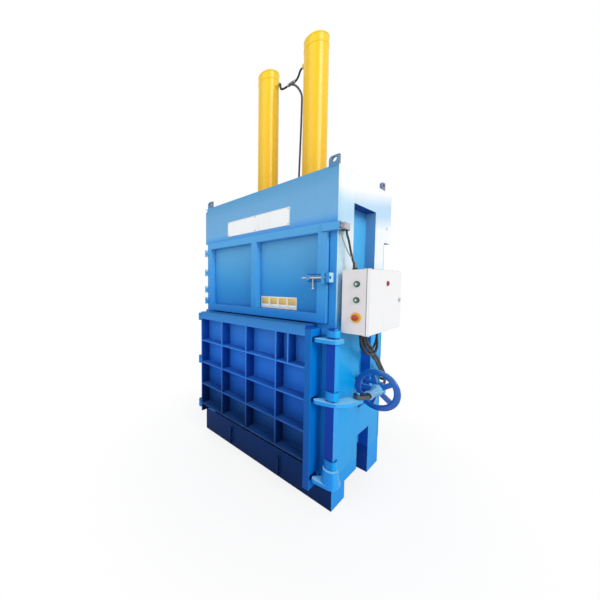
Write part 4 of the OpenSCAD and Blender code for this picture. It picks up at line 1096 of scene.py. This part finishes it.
class Seams:
    """Weld lines that one body carries."""

    def __init__(self) -> None:
        """Starts with no line."""
        self.points: list[Point] = []
        self.edges: list[tuple[int, int]] = []

    def run(self, *stops: Point, closed: bool = False) -> None:
        """Adds a line through points.

        Args:
            stops: The points, in the machine's frame.
            closed: Whether the line goes back to its start.
        """
        first = len(self.points)
        self.points += stops
        self.edges += [(first + k, first + k + 1) for k in range(len(stops) - 1)]
        if closed:
            self.edges.append((len(self.points) - 1, first))

    def window(self, low: tuple[float, float], high: tuple[float, float], y: float) -> None:
        """Adds a rectangle that faces the front, from millimetres.

        Args:
            low: Its left lower corner.
            high: Its right upper corner.
            y: How far back it lies.
        """
        (left, bottom), (right, top) = low, high
        corners = ((left, bottom), (right, bottom), (right, top), (left, top))
        self.run(*[spot(x, y, z) for x, z in corners], closed=True)


# Sub-assemblies


# A weld's ripple as a share of its width, and a head's height and washer as shares of its radius
RIPPLE = 0.8
HEAD = 0.7
WASHER = 1.3
# The rounding of fields and marks that are as thin as print, in metres
CRISP = 0.0002


@dataclass(frozen=True)
class Cord:
    """A cable or hose that is fixed at both ends; the stops of its route are in millimetres."""

    name: str
    thick: float
    route: tuple[Point, ...]
    stiffness: str = "medium"
    nodes: tuple[str, ...] = ()


@dataclass
class Assembly:
    """A sub-assembly, with the finishes, patterns and solids that it works with."""

    palette: Palette
    patterns: Patterns
    nodes: dict[str, bpy.types.Object]

    def dress(self, finish: Finish, *names: str) -> None:
        """Gives solids their finish.

        Args:
            finish: The finish.
            names: The solids.
        """
        for name in names:
            for place in self.nodes[name].material_slots:
                place.material = finish.material
            LOG.info("%s: %s", name, finish.material.name)

    def weld(self, name: str, finish: Finish, seams: Seams, body: str = "frame",
             width: float = 0.0045) -> None:
        """Lays a weld bead along lines.

        Args:
            name: The piece's name.
            finish: Its finish.
            seams: The lines.
            body: The body that it moves with.
            width: The bead's radius in metres.
        """
        self.patterns.weld.apply(name, finish, body, seams.points, seams.edges,
                                 {"Width": width, "Ripple": width * RIPPLE})

    def heads(self, name: str, places: Sequence[Point], way: Way, size: float, sides: int = 6) -> None:
        """Puts zinc screw, bolt or rivet heads on parts of the frame.

        Args:
            name: The piece's name.
            places: The middles of the heads, on the surface.
            way: The direction that the heads face.
            size: A head's radius in metres.
            sides: How many sides a head has.
        """
        sizes = {"Sides": sides, "Size": size, "Height": size * HEAD, "Washer": size * WASHER,
                 "Turn": tuple(way.turn.to_euler())}
        self.patterns.screws.apply(name, self.palette.zinc, points=places, sizes=sizes)

    def lay(self, cord: Cord, finish: Finish) -> None:
        """Runs a cord along its route.

        Args:
            cord: The cord.
            finish: Its finish.
        """
        path = smooth_path(cord.route)
        made = Stock().tube(path, cord.thick / 2).piece(cord.name, finish, nodes=cord.nodes)
        long = sum((b - a).length for a, b in zip(path, path[1:]))

    def build(self) -> None:
        """Builds and dresses the sub-assembly."""
        raise NotImplementedError


@dataclass
class Body(Assembly):
    """The welded body with its header, lifting eyes and bare plate."""

    rim: float = 0.005
    rim_up: float = 0.001
    rim_round: float = 0.0003
    rivet: float = 0.0045
    rivet_in: float = 0.014
    half_width: float = 750.0
    eye_inner: float = 675.0
    eye_face: float = -0.5
    eye_foot: float = 2476.0
    rear_edge: float = 866.0
    rear_span: tuple[float, float] = (240.0, 2026.0)
    recess_x: float = 670.0
    recess_rows: tuple[Point, ...] = ((414, 636, 650), (414, 636, 1335), (252, 660, 1420), (252, 660, 2262))
    recess_posts: tuple[Point, ...] = (
        (414, 652, 1333), (636, 652, 1333), (252, 1422, 2260), (661, 1422, 2260))

    def build(self) -> None:
        """Dresses the body, and adds the plate's rim, rivets and the body's weld seams."""
        paint = self.palette
        self.dress(paint.base, "base_frame")
        self.dress(paint.body, "left_wall", "right_wall", "power_deck", "rear_panel", "hinge_brackets",
                   "bolt_keeper", "screw_bracket", "cabinet_brackets")
        self.dress(paint.lug, "lifting_lugs")
        # The inner parts take the dark enamel: painted shade.
        self.dress(paint.inner, "rear_wall", "crosshead", "front_sill")
        self.dress(paint.header, "header_plate")
        self.dress(paint.plate, "header_name_plate")
        self._plate()
        self._seams()

    def _plate(self) -> None:
        """Rims and rivets the bare plate on the header."""
        (left, face, bottom), (right, _, top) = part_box("header_name_plate")
        rim, front = self.rim, face - self.rim_up
        edges = Stock()
        for z in (bottom, top - rim):
            edges.block((left, front, z), (right, face, z + rim), self.rim_round)
        for x in (left, right - rim):
            edges.block((x, front, bottom + rim), (x + rim, face, top - rim), self.rim_round)
        edges.piece("header_plate_rim", self.palette.border)
        inset = self.rivet_in
        places = [(x, face, z) for x in (left + inset, (left + right) / 2, right - inset)
                  for z in (bottom + inset, top - inset)]
        self.heads("header_plate_rivets", places, Way.FRONT, self.rivet, sides=20)

    def _seams(self) -> None:
        """Welds the lifting eyes, the rear corner and the recesses' frames to the body."""
        seams = Seams()
        edge, inner = self.half_width, self.eye_inner
        for x0, x1 in ((inner, edge), (-edge, -inner)):
            seams.run(*[spot(x, self.eye_face, self.eye_foot) for x in (x0, x1)])
        seams.run(*[spot(edge, self.rear_edge, z) for z in self.rear_span])
        for front, back, z in self.recess_rows:
            seams.run(spot(self.recess_x, front, z), spot(self.recess_x, back, z))
        for y, low, high in self.recess_posts:
            seams.run(spot(self.recess_x, y, low), spot(self.recess_x, y, high))
        self.weld("body_seams", self.palette.body, seams, width=0.004)


@dataclass
class PressCylinders(Assembly):
    """The two long press cylinders with their rods, glands and flanges."""

    spread: float = 275.0
    back: float = 480.0
    foot: float = 2400.0
    tall: float = 1.45
    radius: float = 0.108
    bore: float = 0.090
    flange: float = 0.165
    cap: float = 0.060
    rings: tuple[float, float] = (0.082, 0.012)
    port: float = 3700.0
    port_out: float = 0.022

    def build(self) -> None:
        """Turns the barrels and dresses the rods and fittings."""
        paint = self.palette
        self._barrel("left_barrel", -self.spread, Way.RIGHT)
        self._barrel("right_barrel", self.spread, Way.LEFT)
        self.dress(paint.chrome, "left_rod", "right_rod")
        self.dress(paint.steel, "rod_glands")
        self.dress(paint.zinc, "flange_bolts")
        # The platen takes the dark inner enamel: painted shade.
        self.dress(paint.inner, "platen")

    def _barrel(self, node: str, x: float, way: Way) -> None:
        """Turns one barrel with its flange, weld rings, end cap and port.

        Args:
            node: The solid that it stands for.
            x: The place of its axis, in millimetres.
            way: The direction of its port.
        """
        r, tall, wide = self.radius, self.tall, self.flange
        inside = tall - self.cap
        profile = [(0, inside), (self.bore, inside), (self.bore, 0.0), (wide - 0.003, 0.0), (wide, 0.003),
                   (wide, 0.037), (wide - 0.003, 0.040), (r + 0.012, 0.040), (r + 0.009, 0.047),
                   (r + 0.002, 0.053), (r, 0.054)]
        for below in self.rings:
            ring = tall - below
            profile += [(r, ring - 0.008), (r + 0.0025, ring - 0.005), (r + 0.003, ring),
                        (r + 0.0025, ring + 0.005), (r, ring + 0.008)]
        profile += [(r - 0.004, tall), (r - 0.018, tall), (r - 0.018, tall + 0.012),
                    (r - 0.021, tall + 0.014), (0.03, tall + 0.014), (0.028, tall + 0.012), (0, tall + 0.012)]
        barrel = Stock().turned(profile, spot(x, self.back, self.foot), sides=128)
        end = r + self.port_out
        boss = [(0.0, r - 0.012), (0.03, r - 0.012), (0.029, r + 0.003), (0.025, r + 0.006),
                (0.025, end - 0.002), (0.023, end), (0.0, end)]
        barrel.turned(boss, spot(x, self.back, self.port), way, 48)
        barrel.piece(node + "_turned", self.palette.yellow, nodes=(node,))


@dataclass
class PowerUnit(Assembly):
    """The oil tank, pump, motor, valves and the pipe up to the cylinders."""

    axis_back: float = 880.0
    axis_up: float = 2343.0
    motor_middle: float = 315.0
    motor_face: float = 500.2
    screw_circle: float = 62.0
    pipe: float = 0.018
    riser: tuple[Point, ...] = (
        (-79.5, 845, 2472), (-60, 845, 2472), (-40, 845, 2472), (40, 830, 2472), (96, 760, 2474),
        (114, 640, 2490), (115, 540, 2520), (116, 480, 2600), (122, 468, 2692), (136, 468, 3127),
        (141, 468, 3380), (140, 468, 3430), (127, 468, 3476), (98.2, 468, 3530), (70.2, 468, 3566.8),
        (44.5, 468, 3592.5))
    hoses: tuple[Cord, ...] = (
        Cord("left_hose", 0.020, (
            (-144.5, 480, 3700), (-138, 480, 3700), (-131, 480, 3700), (-121, 479, 3684), (-117, 476, 3660),
            (-107, 472, 3634), (-84, 468, 3619), (-56, 468, 3613), (-33, 468, 3614), (-20, 468, 3614),
            (-7.5, 468, 3614)), "stiff", ("hoses",)),
        Cord("right_hose", 0.020, (
            (53.5, 468, 3614), (62, 468, 3614), (71, 468, 3614), (87, 468, 3623), (100, 471, 3646),
            (108, 475, 3672), (118, 479, 3694), (131, 480, 3700), (138, 480, 3700),
            (144.5, 480, 3700)), "stiff"))

    def build(self) -> None:
        """Dresses the unit, and makes its fins, pipe and hoses."""
        paint = self.palette
        self.dress(paint.tank, "oil_tank")
        self.dress(paint.motor, "pump_motor")
        self.dress(paint.iron, "oil_pump", "tee_fitting")
        self.dress(paint.zinc, "valve_block")
        self._fins()
        self._pipes()

    def _fins(self) -> None:
        """Puts cooling fins round the motor and screws on its end."""
        middle = spot(self.motor_middle, self.axis_back, self.axis_up)
        self.patterns.fins.apply("motor_fins", self.palette.motor,
                                 turn=Matrix.Translation(middle) @ Way.RIGHT.turn)
        places = [spot(self.motor_face, self.axis_back + a, self.axis_up + b)
                  for a, b in circle(6, self.screw_circle)]
        self.heads("motor_screws", places, Way.RIGHT, 0.006)

    def _pipes(self) -> None:
        """Bends the riser and the two hoses, with their nuts."""
        path = smooth_path(self.riser)
        riser = Stock().tube(path, self.pipe / 2)
        ferrule = [(0, 0), (0.014, 0), (0.014, 0.016), (0.0125, 0.018), (0, 0.018)]
        riser.turned(ferrule, tuple(path[0]), Way.RIGHT, 6)
        riser.piece("riser_bent", self.palette.pipe, nodes=("riser_pipe",))
        nut = [(0.0101, 0.0), (0.0145, 0.0), (0.0145, 0.009), (0.0125, 0.010), (0.0125, 0.013),
               (0.0101, 0.013), (0.0101, 0.0)]
        nuts = Stock()
        for hose in self.hoses:
            self.lay(hose, self.palette.rubber)
            nuts.turned(nut, spot(*hose.route[0]), Way.RIGHT, 24)
            nuts.turned(nut, spot(*hose.route[-1]), Way.LEFT, 24)
        nuts.piece("hose_nuts", self.palette.zinc)


@dataclass
class FeedDoor(Assembly):
    """The upper door with its two sheeted bays, latch and interlock."""

    bays: Pairs = ((-624.0, -33.0), (27.0, 620.0))
    bay_low: float = 1447.0
    bay_high: float = 2030.0
    sheet: float = 35.0
    fields: int = 4
    field_edge: float = 0.009
    field_up: float = 0.0008
    field_gap: float = 0.004
    field_split: float = 0.36

    def build(self) -> None:
        """Dresses the door, and adds its seams, whose dark colour paints the shadow along the bays' edges,
        and the label's plain fields.
        """
        paint = self.palette
        self.dress(paint.feed, "feed_door_frame", "interlock_arm")
        self.dress(paint.sheet, "feed_door_sheet")
        self.dress(paint.bright, "latch_bolt")
        self.dress(paint.cream, "door_name_plate")
        latch_pad = ((546, 1680), (690, 1732), -30.5)
        arm_pad = ((655, 2030), (690, 2085), -31.0)
        seams = Seams()
        for left, right in self.bays:
            seams.window((left, self.bay_low), (right, self.bay_high), self.sheet)
        seams.window(*latch_pad)
        seams.window(*arm_pad)
        # The dark enamel on these seams paints shadow lines round the bays and the pads.
        self.weld("feed_door_shadow_seams", paint.inner, seams, "feed_door", 0.0034)
        self._label()

    def _label(self) -> None:
        """Puts a row of plain fields on the door's label."""
        (left, face, bottom), (right, _, top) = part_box("door_name_plate")
        wide = (right - left) / self.fields
        edge, front = self.field_edge, face - self.field_up
        split = bottom + (top - bottom) * self.field_split
        pale, deep = Stock(), Stock()
        for k in range(self.fields):
            x0, x1 = left + wide * k + edge, left + wide * (k + 1) - edge
            deep.block((x0, front, split), (x1, face, top - edge), CRISP)
            pale.block((x0, front, bottom + edge), (x1, face, split - self.field_gap), CRISP)
        deep.piece("label_fields", self.palette.field, "feed_door")
        pale.piece("label_strips", self.palette.pale_field, "feed_door")


@dataclass
class MainDoor(Assembly):
    """The lower door: a plate behind a grid of deep ribs, with the lock post at its free edge."""

    left: float = -628.0
    right: float = 605.0
    uprights: tuple[float, ...] = (-302.0, 23.0, 348.0)
    shelves: tuple[float, ...] = (1293.0, 1070.0, 837.0, 604.0, 385.0)
    thickness: float = 12.0
    rib_front: float = -149.0
    plate: float = -45.0
    short: float = 455.0

    def build(self) -> None:
        """Dresses the door and welds every rib to the plate."""
        paint = self.palette
        self.dress(paint.door, "main_door_plate", "main_door_ribs")
        self.dress(paint.post, "lock_post")
        self.dress(paint.body, "main_door_hinges")
        self._bay_seams()
        corners = Seams()
        half = self.thickness / 2
        for x in self.uprights:
            for z in self.shelves[1:]:
                for side in (x - half, x + half):
                    corners.run(spot(side, self.rib_front, z), spot(side, self.plate, z))
        self.weld("rib_corner_seams", paint.door, corners, "main_door", 0.004)

    def _bay_seams(self) -> None:
        """Welds the ribs to the plate all round each bay."""
        seams = Seams()
        half, thick = self.thickness / 2, self.thickness
        for row, (high, low) in enumerate(zip(self.shelves, self.shelves[1:])):
            posts = [(x - half, x + half) for x in self.uprights]
            if row == 0:
                posts.append((self.short, self.short + thick))
            starts = [self.left] + [end for _, end in posts]
            stops = [start for start, _ in posts] + [self.right]
            for x0, x1 in zip(starts, stops):
                seams.window((x0, low), (x1, high if row == 0 else high - thick), self.plate)
        foot = self.shelves[-1] - thick
        seams.run(spot(self.left, self.plate, foot), spot(self.right, self.plate, foot))
        self.weld("rib_seams", self.palette.door, seams, "main_door", 0.005)


@dataclass
class ClawLock(Assembly):
    """The square shaft with its three claws, and the handwheel and screw that turn it."""

    shaft: tuple[float, float] = (764.0, -54.0)
    half: float = 31.5
    claw_tops: tuple[float, ...] = (275.0, 850.0, 1285.0)
    claw: float = 25.0
    wheel: Point = (910.0, 348.0, 868.0)
    hub_start: float = 187.0
    first_spoke: float = 107.0
    bore: float = 0.0124
    thread: float = 11.8
    thread_span: tuple[float, float] = (166.0, 424.0)
    thread_steps: int = 24
    ridge: float = 0.0005
    pitch: float = 0.004

    def build(self) -> None:
        """Dresses the lock, casts the handwheel and lays the welds."""
        paint = self.palette
        self.dress(paint.shaft, "lock_shaft")
        self.dress(paint.claw, "top_claw", "middle_claw", "bottom_claw", "swivel_block")
        self.dress(paint.body, "lock_bearings")
        self.dress(paint.iron, "clamp_screw")
        self._wheel()
        self._thread()
        x, y = self.shaft
        seams = Seams()
        for top in self.claw_tops:
            for z in (top, top - self.claw):
                seams.run(*[spot(x + a * self.half, y + b * self.half, z)
                            for a, b in ((-1, -1), (1, -1), (1, 1), (-1, 1))], closed=True)
        self.weld("claw_seams", paint.claw, seams, "lock")

    def _wheel(self) -> None:
        """Casts the rim and spokes, turns the long hub, and lays a dark ring in the mouth of its bore as
        painted shade.
        """
        paint, bore = self.palette, self.bore
        turn = (Matrix.Translation(spot(*self.wheel)) @ Matrix.Rotation(math.radians(90), 4, "X")
                @ Matrix.Rotation(math.radians(self.first_spoke), 4, "Z"))
        self.patterns.wheel.apply("handwheel_cast", paint.wheel, "wheel", nodes=("handwheel",), turn=turn)
        hub = [(bore, 0.0), (0.030, 0.0), (0.032, 0.002), (0.032, 0.009), (0.030, 0.010), (0.029, 0.012),
               (0.029, 0.146), (0.033, 0.149), (0.040, 0.150), (0.042, 0.152), (0.042, 0.170), (0.040, 0.173),
               (0.033, 0.174), (0.029, 0.177), (0.029, 0.184), (0.0275, 0.185), (0.020, 0.185),
               (0.020, 0.223), (bore, 0.223), (bore, 0.0)]
        ring = [(bore, -0.0004), (0.0215, -0.0004), (0.0215, 0.0006), (bore, 0.0006), (bore, -0.0004)]
        start = spot(self.wheel[0], self.hub_start, self.wheel[2])
        # The hub's pale enamel is a painted highlight.
        Stock().turned(hub, start, Way.BACK).piece("handwheel_hub", paint.hub, "wheel")
        # Painted shade: a dark ring in the mouth of the hub's bore.
        Stock().turned(ring, start, Way.BACK, 48).piece("hub_bore_shade_ring", paint.iron, "wheel")

    def _thread(self) -> None:
        """Winds the screw's thread as a fine ridge."""
        x, _, z = self.wheel
        start, end = self.thread_span
        count = int((end - start) / 1000 / self.pitch * self.thread_steps)
        points = []
        for k in range(count + 1):
            angle = math.tau * k / self.thread_steps
            points.append(Vector(spot(x + self.thread * math.cos(angle), start + (end - start) * k / count,
                                      z + self.thread * math.sin(angle))))
        Stock().tube(points, self.ridge, 6).piece("screw_thread", self.palette.iron, "screw")


@dataclass
class Cabinet(Assembly):
    """The control cabinet with its buttons, lamp, lock, glands and cables, and the limit switch."""

    right: float = 965.0
    front: float = 10.0
    button_x: float = 883.0
    button_base: float = 36.0
    buttons: tuple[tuple[str, float, int], ...] = (("up", 1661.0, 1), ("down", 1555.0, -1))
    arrow: Pairs = (
        (-7.0, -1.0), (0.0, 7.0), (7.0, -1.0), (2.6, -1.0), (2.6, -7.0), (-2.6, -7.0), (-2.6, -1.0))
    arrow_out: float = 40.6
    arrow_thick: float = 0.9
    stop: Point = (883.0, 30.0, 1438.0)
    lamp: tuple[float, float] = (320.0, 1665.0)
    lock: tuple[float, float] = (578.0, 1540.0)
    seal: tuple[float, float] = (0.0028, 0.0002)
    seal_up: float = 0.0005
    glands: tuple[tuple[float, Way, float, Pairs], ...] = (
        (1325.0, Way.DOWN, 0.017, ((875, 210), (875, 168), (875, 120), (875, 410), (825, 235), (825, 560))),
        (1757.0, Way.UP, 0.011, ((830, 84), (836, 110))),
        (2030.0, Way.DOWN, 0.017, ((560, 905), (510, 905))))
    cords: tuple[Cord, ...] = (
        Cord("switch_lead", 0.014, (
            (784, 66, 2034.2), (784, 66, 2010), (792, 82, 1960), (800, 92, 1900), (818, 88, 1830),
            (829, 84, 1803), (830, 84, 1792), (830, 84, 1784), (830, 84, 1775)), nodes=("switch_cables",)),
        Cord("sensor_lead", 0.008, (
            (764, 22, 2034.2), (764, 22, 2012), (776, 34, 1960), (798, 62, 1880), (822, 96, 1822),
            (835, 109, 1803), (836, 110, 1792), (836, 110, 1784), (836, 110, 1775))),
        Cord("motor_cable", 0.024, (
            (875, 210, 1307), (875, 210, 1289), (875, 210, 1262), (870, 250, 1225), (858, 350, 1178),
            (846, 450, 1112), (830, 560, 1058), (812, 690, 968), (804, 800, 880), (796, 880, 816),
            (770, 925, 775), (720, 945, 775), (660, 945, 830), (600, 930, 940), (568, 912, 1090),
            (560, 905, 1250), (560, 905, 1600), (560, 905, 1850), (560, 905, 1940), (560, 905, 1980),
            (560, 905, 2012)), nodes=("power_cables",)),
        Cord("valve_cable", 0.022, (
            (875, 168, 1307), (875, 168, 1289), (875, 168, 1260), (869, 234, 1202), (857, 335, 1156),
            (845, 435, 1089), (829, 545, 1035), (811, 675, 945), (803, 785, 857), (795, 862, 786),
            (768, 915, 735), (712, 955, 722), (640, 962, 775), (575, 945, 880), (525, 922, 1040),
            (510, 905, 1220), (510, 905, 1600), (510, 905, 1850), (510, 905, 1940), (510, 905, 1980),
            (510, 905, 2012))),
        Cord("front_loop", 0.018, (
            (875, 120, 1307), (875, 120, 1289), (875, 120, 1262), (886, 140, 1205), (893, 200, 1162),
            (895, 270, 1150), (893, 340, 1160), (886, 390, 1200), (875, 410, 1260), (875, 410, 1289),
            (875, 410, 1307))),
        Cord("inner_loop", 0.016, (
            (825, 235, 1307), (825, 235, 1289), (825, 235, 1262), (818, 270, 1190), (812, 350, 1132),
            (810, 430, 1112), (812, 500, 1128), (820, 548, 1190), (825, 560, 1260), (825, 560, 1289),
            (825, 560, 1307))))

    def build(self) -> None:
        """Dresses the cabinet and makes everything that is fitted to it."""
        paint = self.palette
        self.dress(paint.cabinet, "cabinet_shell")
        self.dress(paint.lid, "cabinet_door")
        self.dress(paint.black, "switchgear")
        self.dress(paint.ring, "stop_ring")
        self.dress(paint.switch_box, "limit_switch")
        self.dress(paint.steel, "switch_plunger", "cabinet_lock")
        for cord in self.cords:
            self.lay(cord, paint.grey_lead if cord.name == "sensor_lead" else paint.rubber)
        self._buttons()
        self._seal()
        self._lid_fittings()
        self._glands()
        self._switch()

    def _buttons(self) -> None:
        """Turns the two push buttons and the stop button, with their bezels and arrows."""
        paint = self.palette
        cap = [(0, 0.0), (0.011, 0.0), (0.011, 0.0288), (0.0165, 0.0292), (0.0165, 0.0375), (0.0155, 0.0398),
               (0.0140, 0.041), (0.0125, 0.0403), (0, 0.0398)]
        ring = [(0.0171, 0.0002), (0.0205, 0.0002), (0.0205, 0.003), (0.0195, 0.0065), (0.0178, 0.0065),
                (0.0171, 0.0055), (0.0171, 0.0002)]
        head = [(0, 0.0), (0.011, 0.0), (0.011, 0.0285), (0.017, 0.029), (0.0195, 0.0315), (0.021, 0.036),
                (0.0208, 0.041), (0.019, 0.0463), (0.0145, 0.0498), (0.008, 0.0509), (0, 0.051)]
        x, base = self.button_x, self.button_base
        bezels = Stock()
        for name, z, up in self.buttons:
            body = name + "_push"
            Stock().turned(cap, spot(x, base, z), Way.FRONT).piece(name + "_cap", paint.green, body,
                                                                   (name + "_button",))
            bezels.turned(ring, spot(x, self.front, z), Way.FRONT)
            outline = [(a, up * b) for a, b in self.arrow]
            arrow = Stock().slab(outline, (x, base - self.arrow_out, z), self.arrow_thick)
            arrow.piece(name + "_arrow", paint.plate, body)
        bezels.piece("button_bezels", paint.black)
        Stock().turned(head, spot(*self.stop), Way.FRONT).piece("stop_head", paint.red, "stop_push",
                                                                ("stop_button",))

    def _seal(self) -> None:
        """Lays a thin black seal between the lid and the shell, along the front and both ends, which also
        paints the shade in the gap.
        """
        low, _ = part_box("cabinet_door")
        (_, front, bottom), (_, back, top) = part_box("cabinet_shell")
        x0, x1 = (low[0] - gap for gap in self.seal)
        up = self.seal_up
        # The black strip also stands in for the shaded gap at the lid's edge.
        seal = Stock().block((x0, front - up, bottom), (x1, front, top))
        for z in (bottom - up, top):
            seal.block((x0, front, z), (x1, back, z + up))
        seal.piece("lid_seal_gap_shade", self.palette.rubber)

    def _lid_fittings(self) -> None:
        """Makes the lamp on the lid and the slot of its lock."""
        paint = self.palette
        lamp = spot(self.right, *self.lamp)
        bezel = [(0, 0.0), (0.019, 0.0), (0.019, 0.003), (0.0175, 0.0045), (0.015, 0.0045), (0.015, 0.001),
                 (0, 0.001)]
        lens = [(0, 0.0012), (0.0146, 0.0012), (0.0146, 0.006), (0.0136, 0.0088), (0.010, 0.011),
                (0.005, 0.0118), (0, 0.012)]
        Stock().turned(bezel, lamp, Way.RIGHT, 48).piece("lamp_bezel", paint.lens, "cabinet_lid")
        Stock().turned(lens, lamp, Way.RIGHT, 48).piece("lamp_lens", paint.lens, "cabinet_lid",
                                                        ("signal_lamp",))
        x, (y, z) = self.right, self.lock
        slot = Stock().block(spot(x + 5.9, y - 1.6, z - 8), spot(x + 6.4, y + 1.6, z + 8), CRISP)
        slot.piece("lock_slot", paint.black, "lid_lock")

    def _glands(self) -> None:
        """Makes the cable glands, each a hexagon with a domed nut."""
        nuts = Stock()
        for z, way, r, places in self.glands:
            hexagon = [(0, 0.0), (r, 0.0), (r, 0.008), (0, 0.008)]
            dome = [(0, 0.008), (r * 0.8, 0.008), (r * 0.82, 0.0125), (r * 0.76, 0.0155), (r * 0.66, 0.0178),
                    (0, 0.0178)]
            for x, y in places:
                nuts.turned(hexagon, spot(x, y, z), way, 6)
                nuts.turned(dome, spot(x, y, z), way, 32)
        nuts.piece("cable_gland_nuts", self.palette.black, nodes=("cable_glands",))

    def _switch(self) -> None:
        """Puts the lid, its screws and a dark foot on the limit switch; the foot paints the shade under it.
        """
        paint = self.palette
        (left, front, bottom), (right, back, top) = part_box("limit_switch")
        edge, lid_up, lid_front, shade_foot_down, screw_in, screw_front = 0.004, 0.002, 0.012, 0.003, 0.010, 0.021
        lid = Stock().block((right, front + lid_front, bottom + edge),
                            (right + lid_up, back - edge, top - edge), 0.0008)
        lid.piece("switch_lid", paint.switch_box)
        # A thin black plate under the switch: painted shade.
        foot = Stock().block((left + 0.002, front + 0.001, bottom - shade_foot_down),
                             (right - 0.001, back - 0.001, bottom), 0.0006)
        foot.piece("switch_shade_foot", paint.black)
        places = [(right + lid_up, y, z) for y in (front + screw_front, back - screw_in)
                  for z in (bottom + screw_in, top - screw_in)]
        self.heads("switch_screws", places, Way.RIGHT, 0.0028, sides=16)


@dataclass
class Studio:
    """The floor, the light and the camera."""

    eye: Point = (1.6422, -2.2361, 1.6640)
    tilt: float = 86.804
    heading: float = 49.565
    lens: float = 15.934
    shift: tuple[float, float] = (0.1295, -0.0026)
    sky: Colour = (0.96, 0.98, 1.0, 1.0)
    ambient: float = 0.56
    floor_size: float = 24.0
    lamps: tuple[tuple[str, Point, float, float], ...] = (
        ("key_lamp", (0.86, -0.22, 0.52), 1.45, 26), ("front_lamp", (-0.1, -0.85, 0.5), 0.8, 50))

    def build(self) -> None:
        """Sets up the whole studio."""
        self._camera()
        self._world()
        self._floor()
        for name, towards, power, softness in self.lamps:
            lamp = bpy.data.lights.new(name, "SUN")
            lamp.energy = power
            lamp.angle = math.radians(softness)
            put(name, lamp).rotation_euler = Vector(towards).to_track_quat("Z", "Y").to_euler()

    def _camera(self) -> None:
        """Puts the camera at the photograph's viewing angle."""
        data = bpy.data.cameras.new("camera")
        data.lens = self.lens
        data.sensor_width = 36.0
        data.shift_x, data.shift_y = self.shift
        camera = put("camera", data)
        camera.location = self.eye
        camera.rotation_euler = (math.radians(self.tilt), 0.0, math.radians(self.heading))
        bpy.context.scene.camera = camera
        bpy.context.scene.view_settings.view_transform = "Standard"

    def _world(self) -> None:
        """Lights the scene softly from all round, with a white backdrop."""
        world = bpy.data.worlds.new("studio")
        world.use_nodes = True
        bpy.context.scene.world = world
        mix = Shader(world.node_tree)
        soft, white = (mix.node("ShaderNodeBackground", None, {0: colour, 1: strength}).outputs[0]
                       for colour, strength in ((self.sky, self.ambient), (WHITE, 1.0)))
        both = mix.node("ShaderNodeMixShader", None, {0: mix.backdrop_rays(), 1: soft, 2: white})
        mix.node("ShaderNodeOutputWorld", None, {0: both.outputs[0]})

    def _floor(self) -> None:
        """Spreads a plain pale floor that runs out into the white backdrop."""
        half = self.floor_size / 2
        data = bpy.data.meshes.new("floor")
        corners = [(a * half, b * half, 0) for a, b in ((-1, -1), (1, -1), (1, 1), (-1, 1))]
        data.from_pydata(corners, [], [(0, 1, 2, 3)])
        mix = Recipe("floor_paper")
        reach = mix.node("ShaderNodeVectorMath", {"operation": "LENGTH"}, {0: mix.place}).outputs["Value"]
        away = Wire(mix, reach).span(0.95, 2.1)
        grain = mix.noise(scale=40.0)
        colour = mix.blend(grain * 0.3, linear("#fbfbfc"), linear("#f6f7f8"))
        paper = mix.node("ShaderNodeBsdfPrincipled", None, {"Base Color": colour, "Roughness": 0.7})
        glow = mix.node("ShaderNodeEmission", None, {"Color": WHITE, "Strength": 1.0})
        shown = (away * 0.18 + 0.82) * mix.backdrop_rays()
        lit = mix.node("ShaderNodeMixShader", None, {0: shown, 1: paper.outputs[0], 2: glow.outputs[0]})
        mix.node("ShaderNodeOutputMaterial", None, {"Surface": lit.outputs[0]})
        data.materials.append(mix.material)
        put("floor", data)


def main() -> None:
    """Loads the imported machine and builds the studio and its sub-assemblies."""
    logging.basicConfig(level=logging.INFO, format="%(message)s")
    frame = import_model()
    Studio().build()
    palette = Palette()
    patterns = Patterns()
    for kind in (Cabinet, PowerUnit, Body, PressCylinders, FeedDoor, MainDoor, ClawLock):
        kind(palette, patterns, frame["nodes"]).build()
    bpy.context.view_layer.update()


if __name__ == "__main__":
    main()
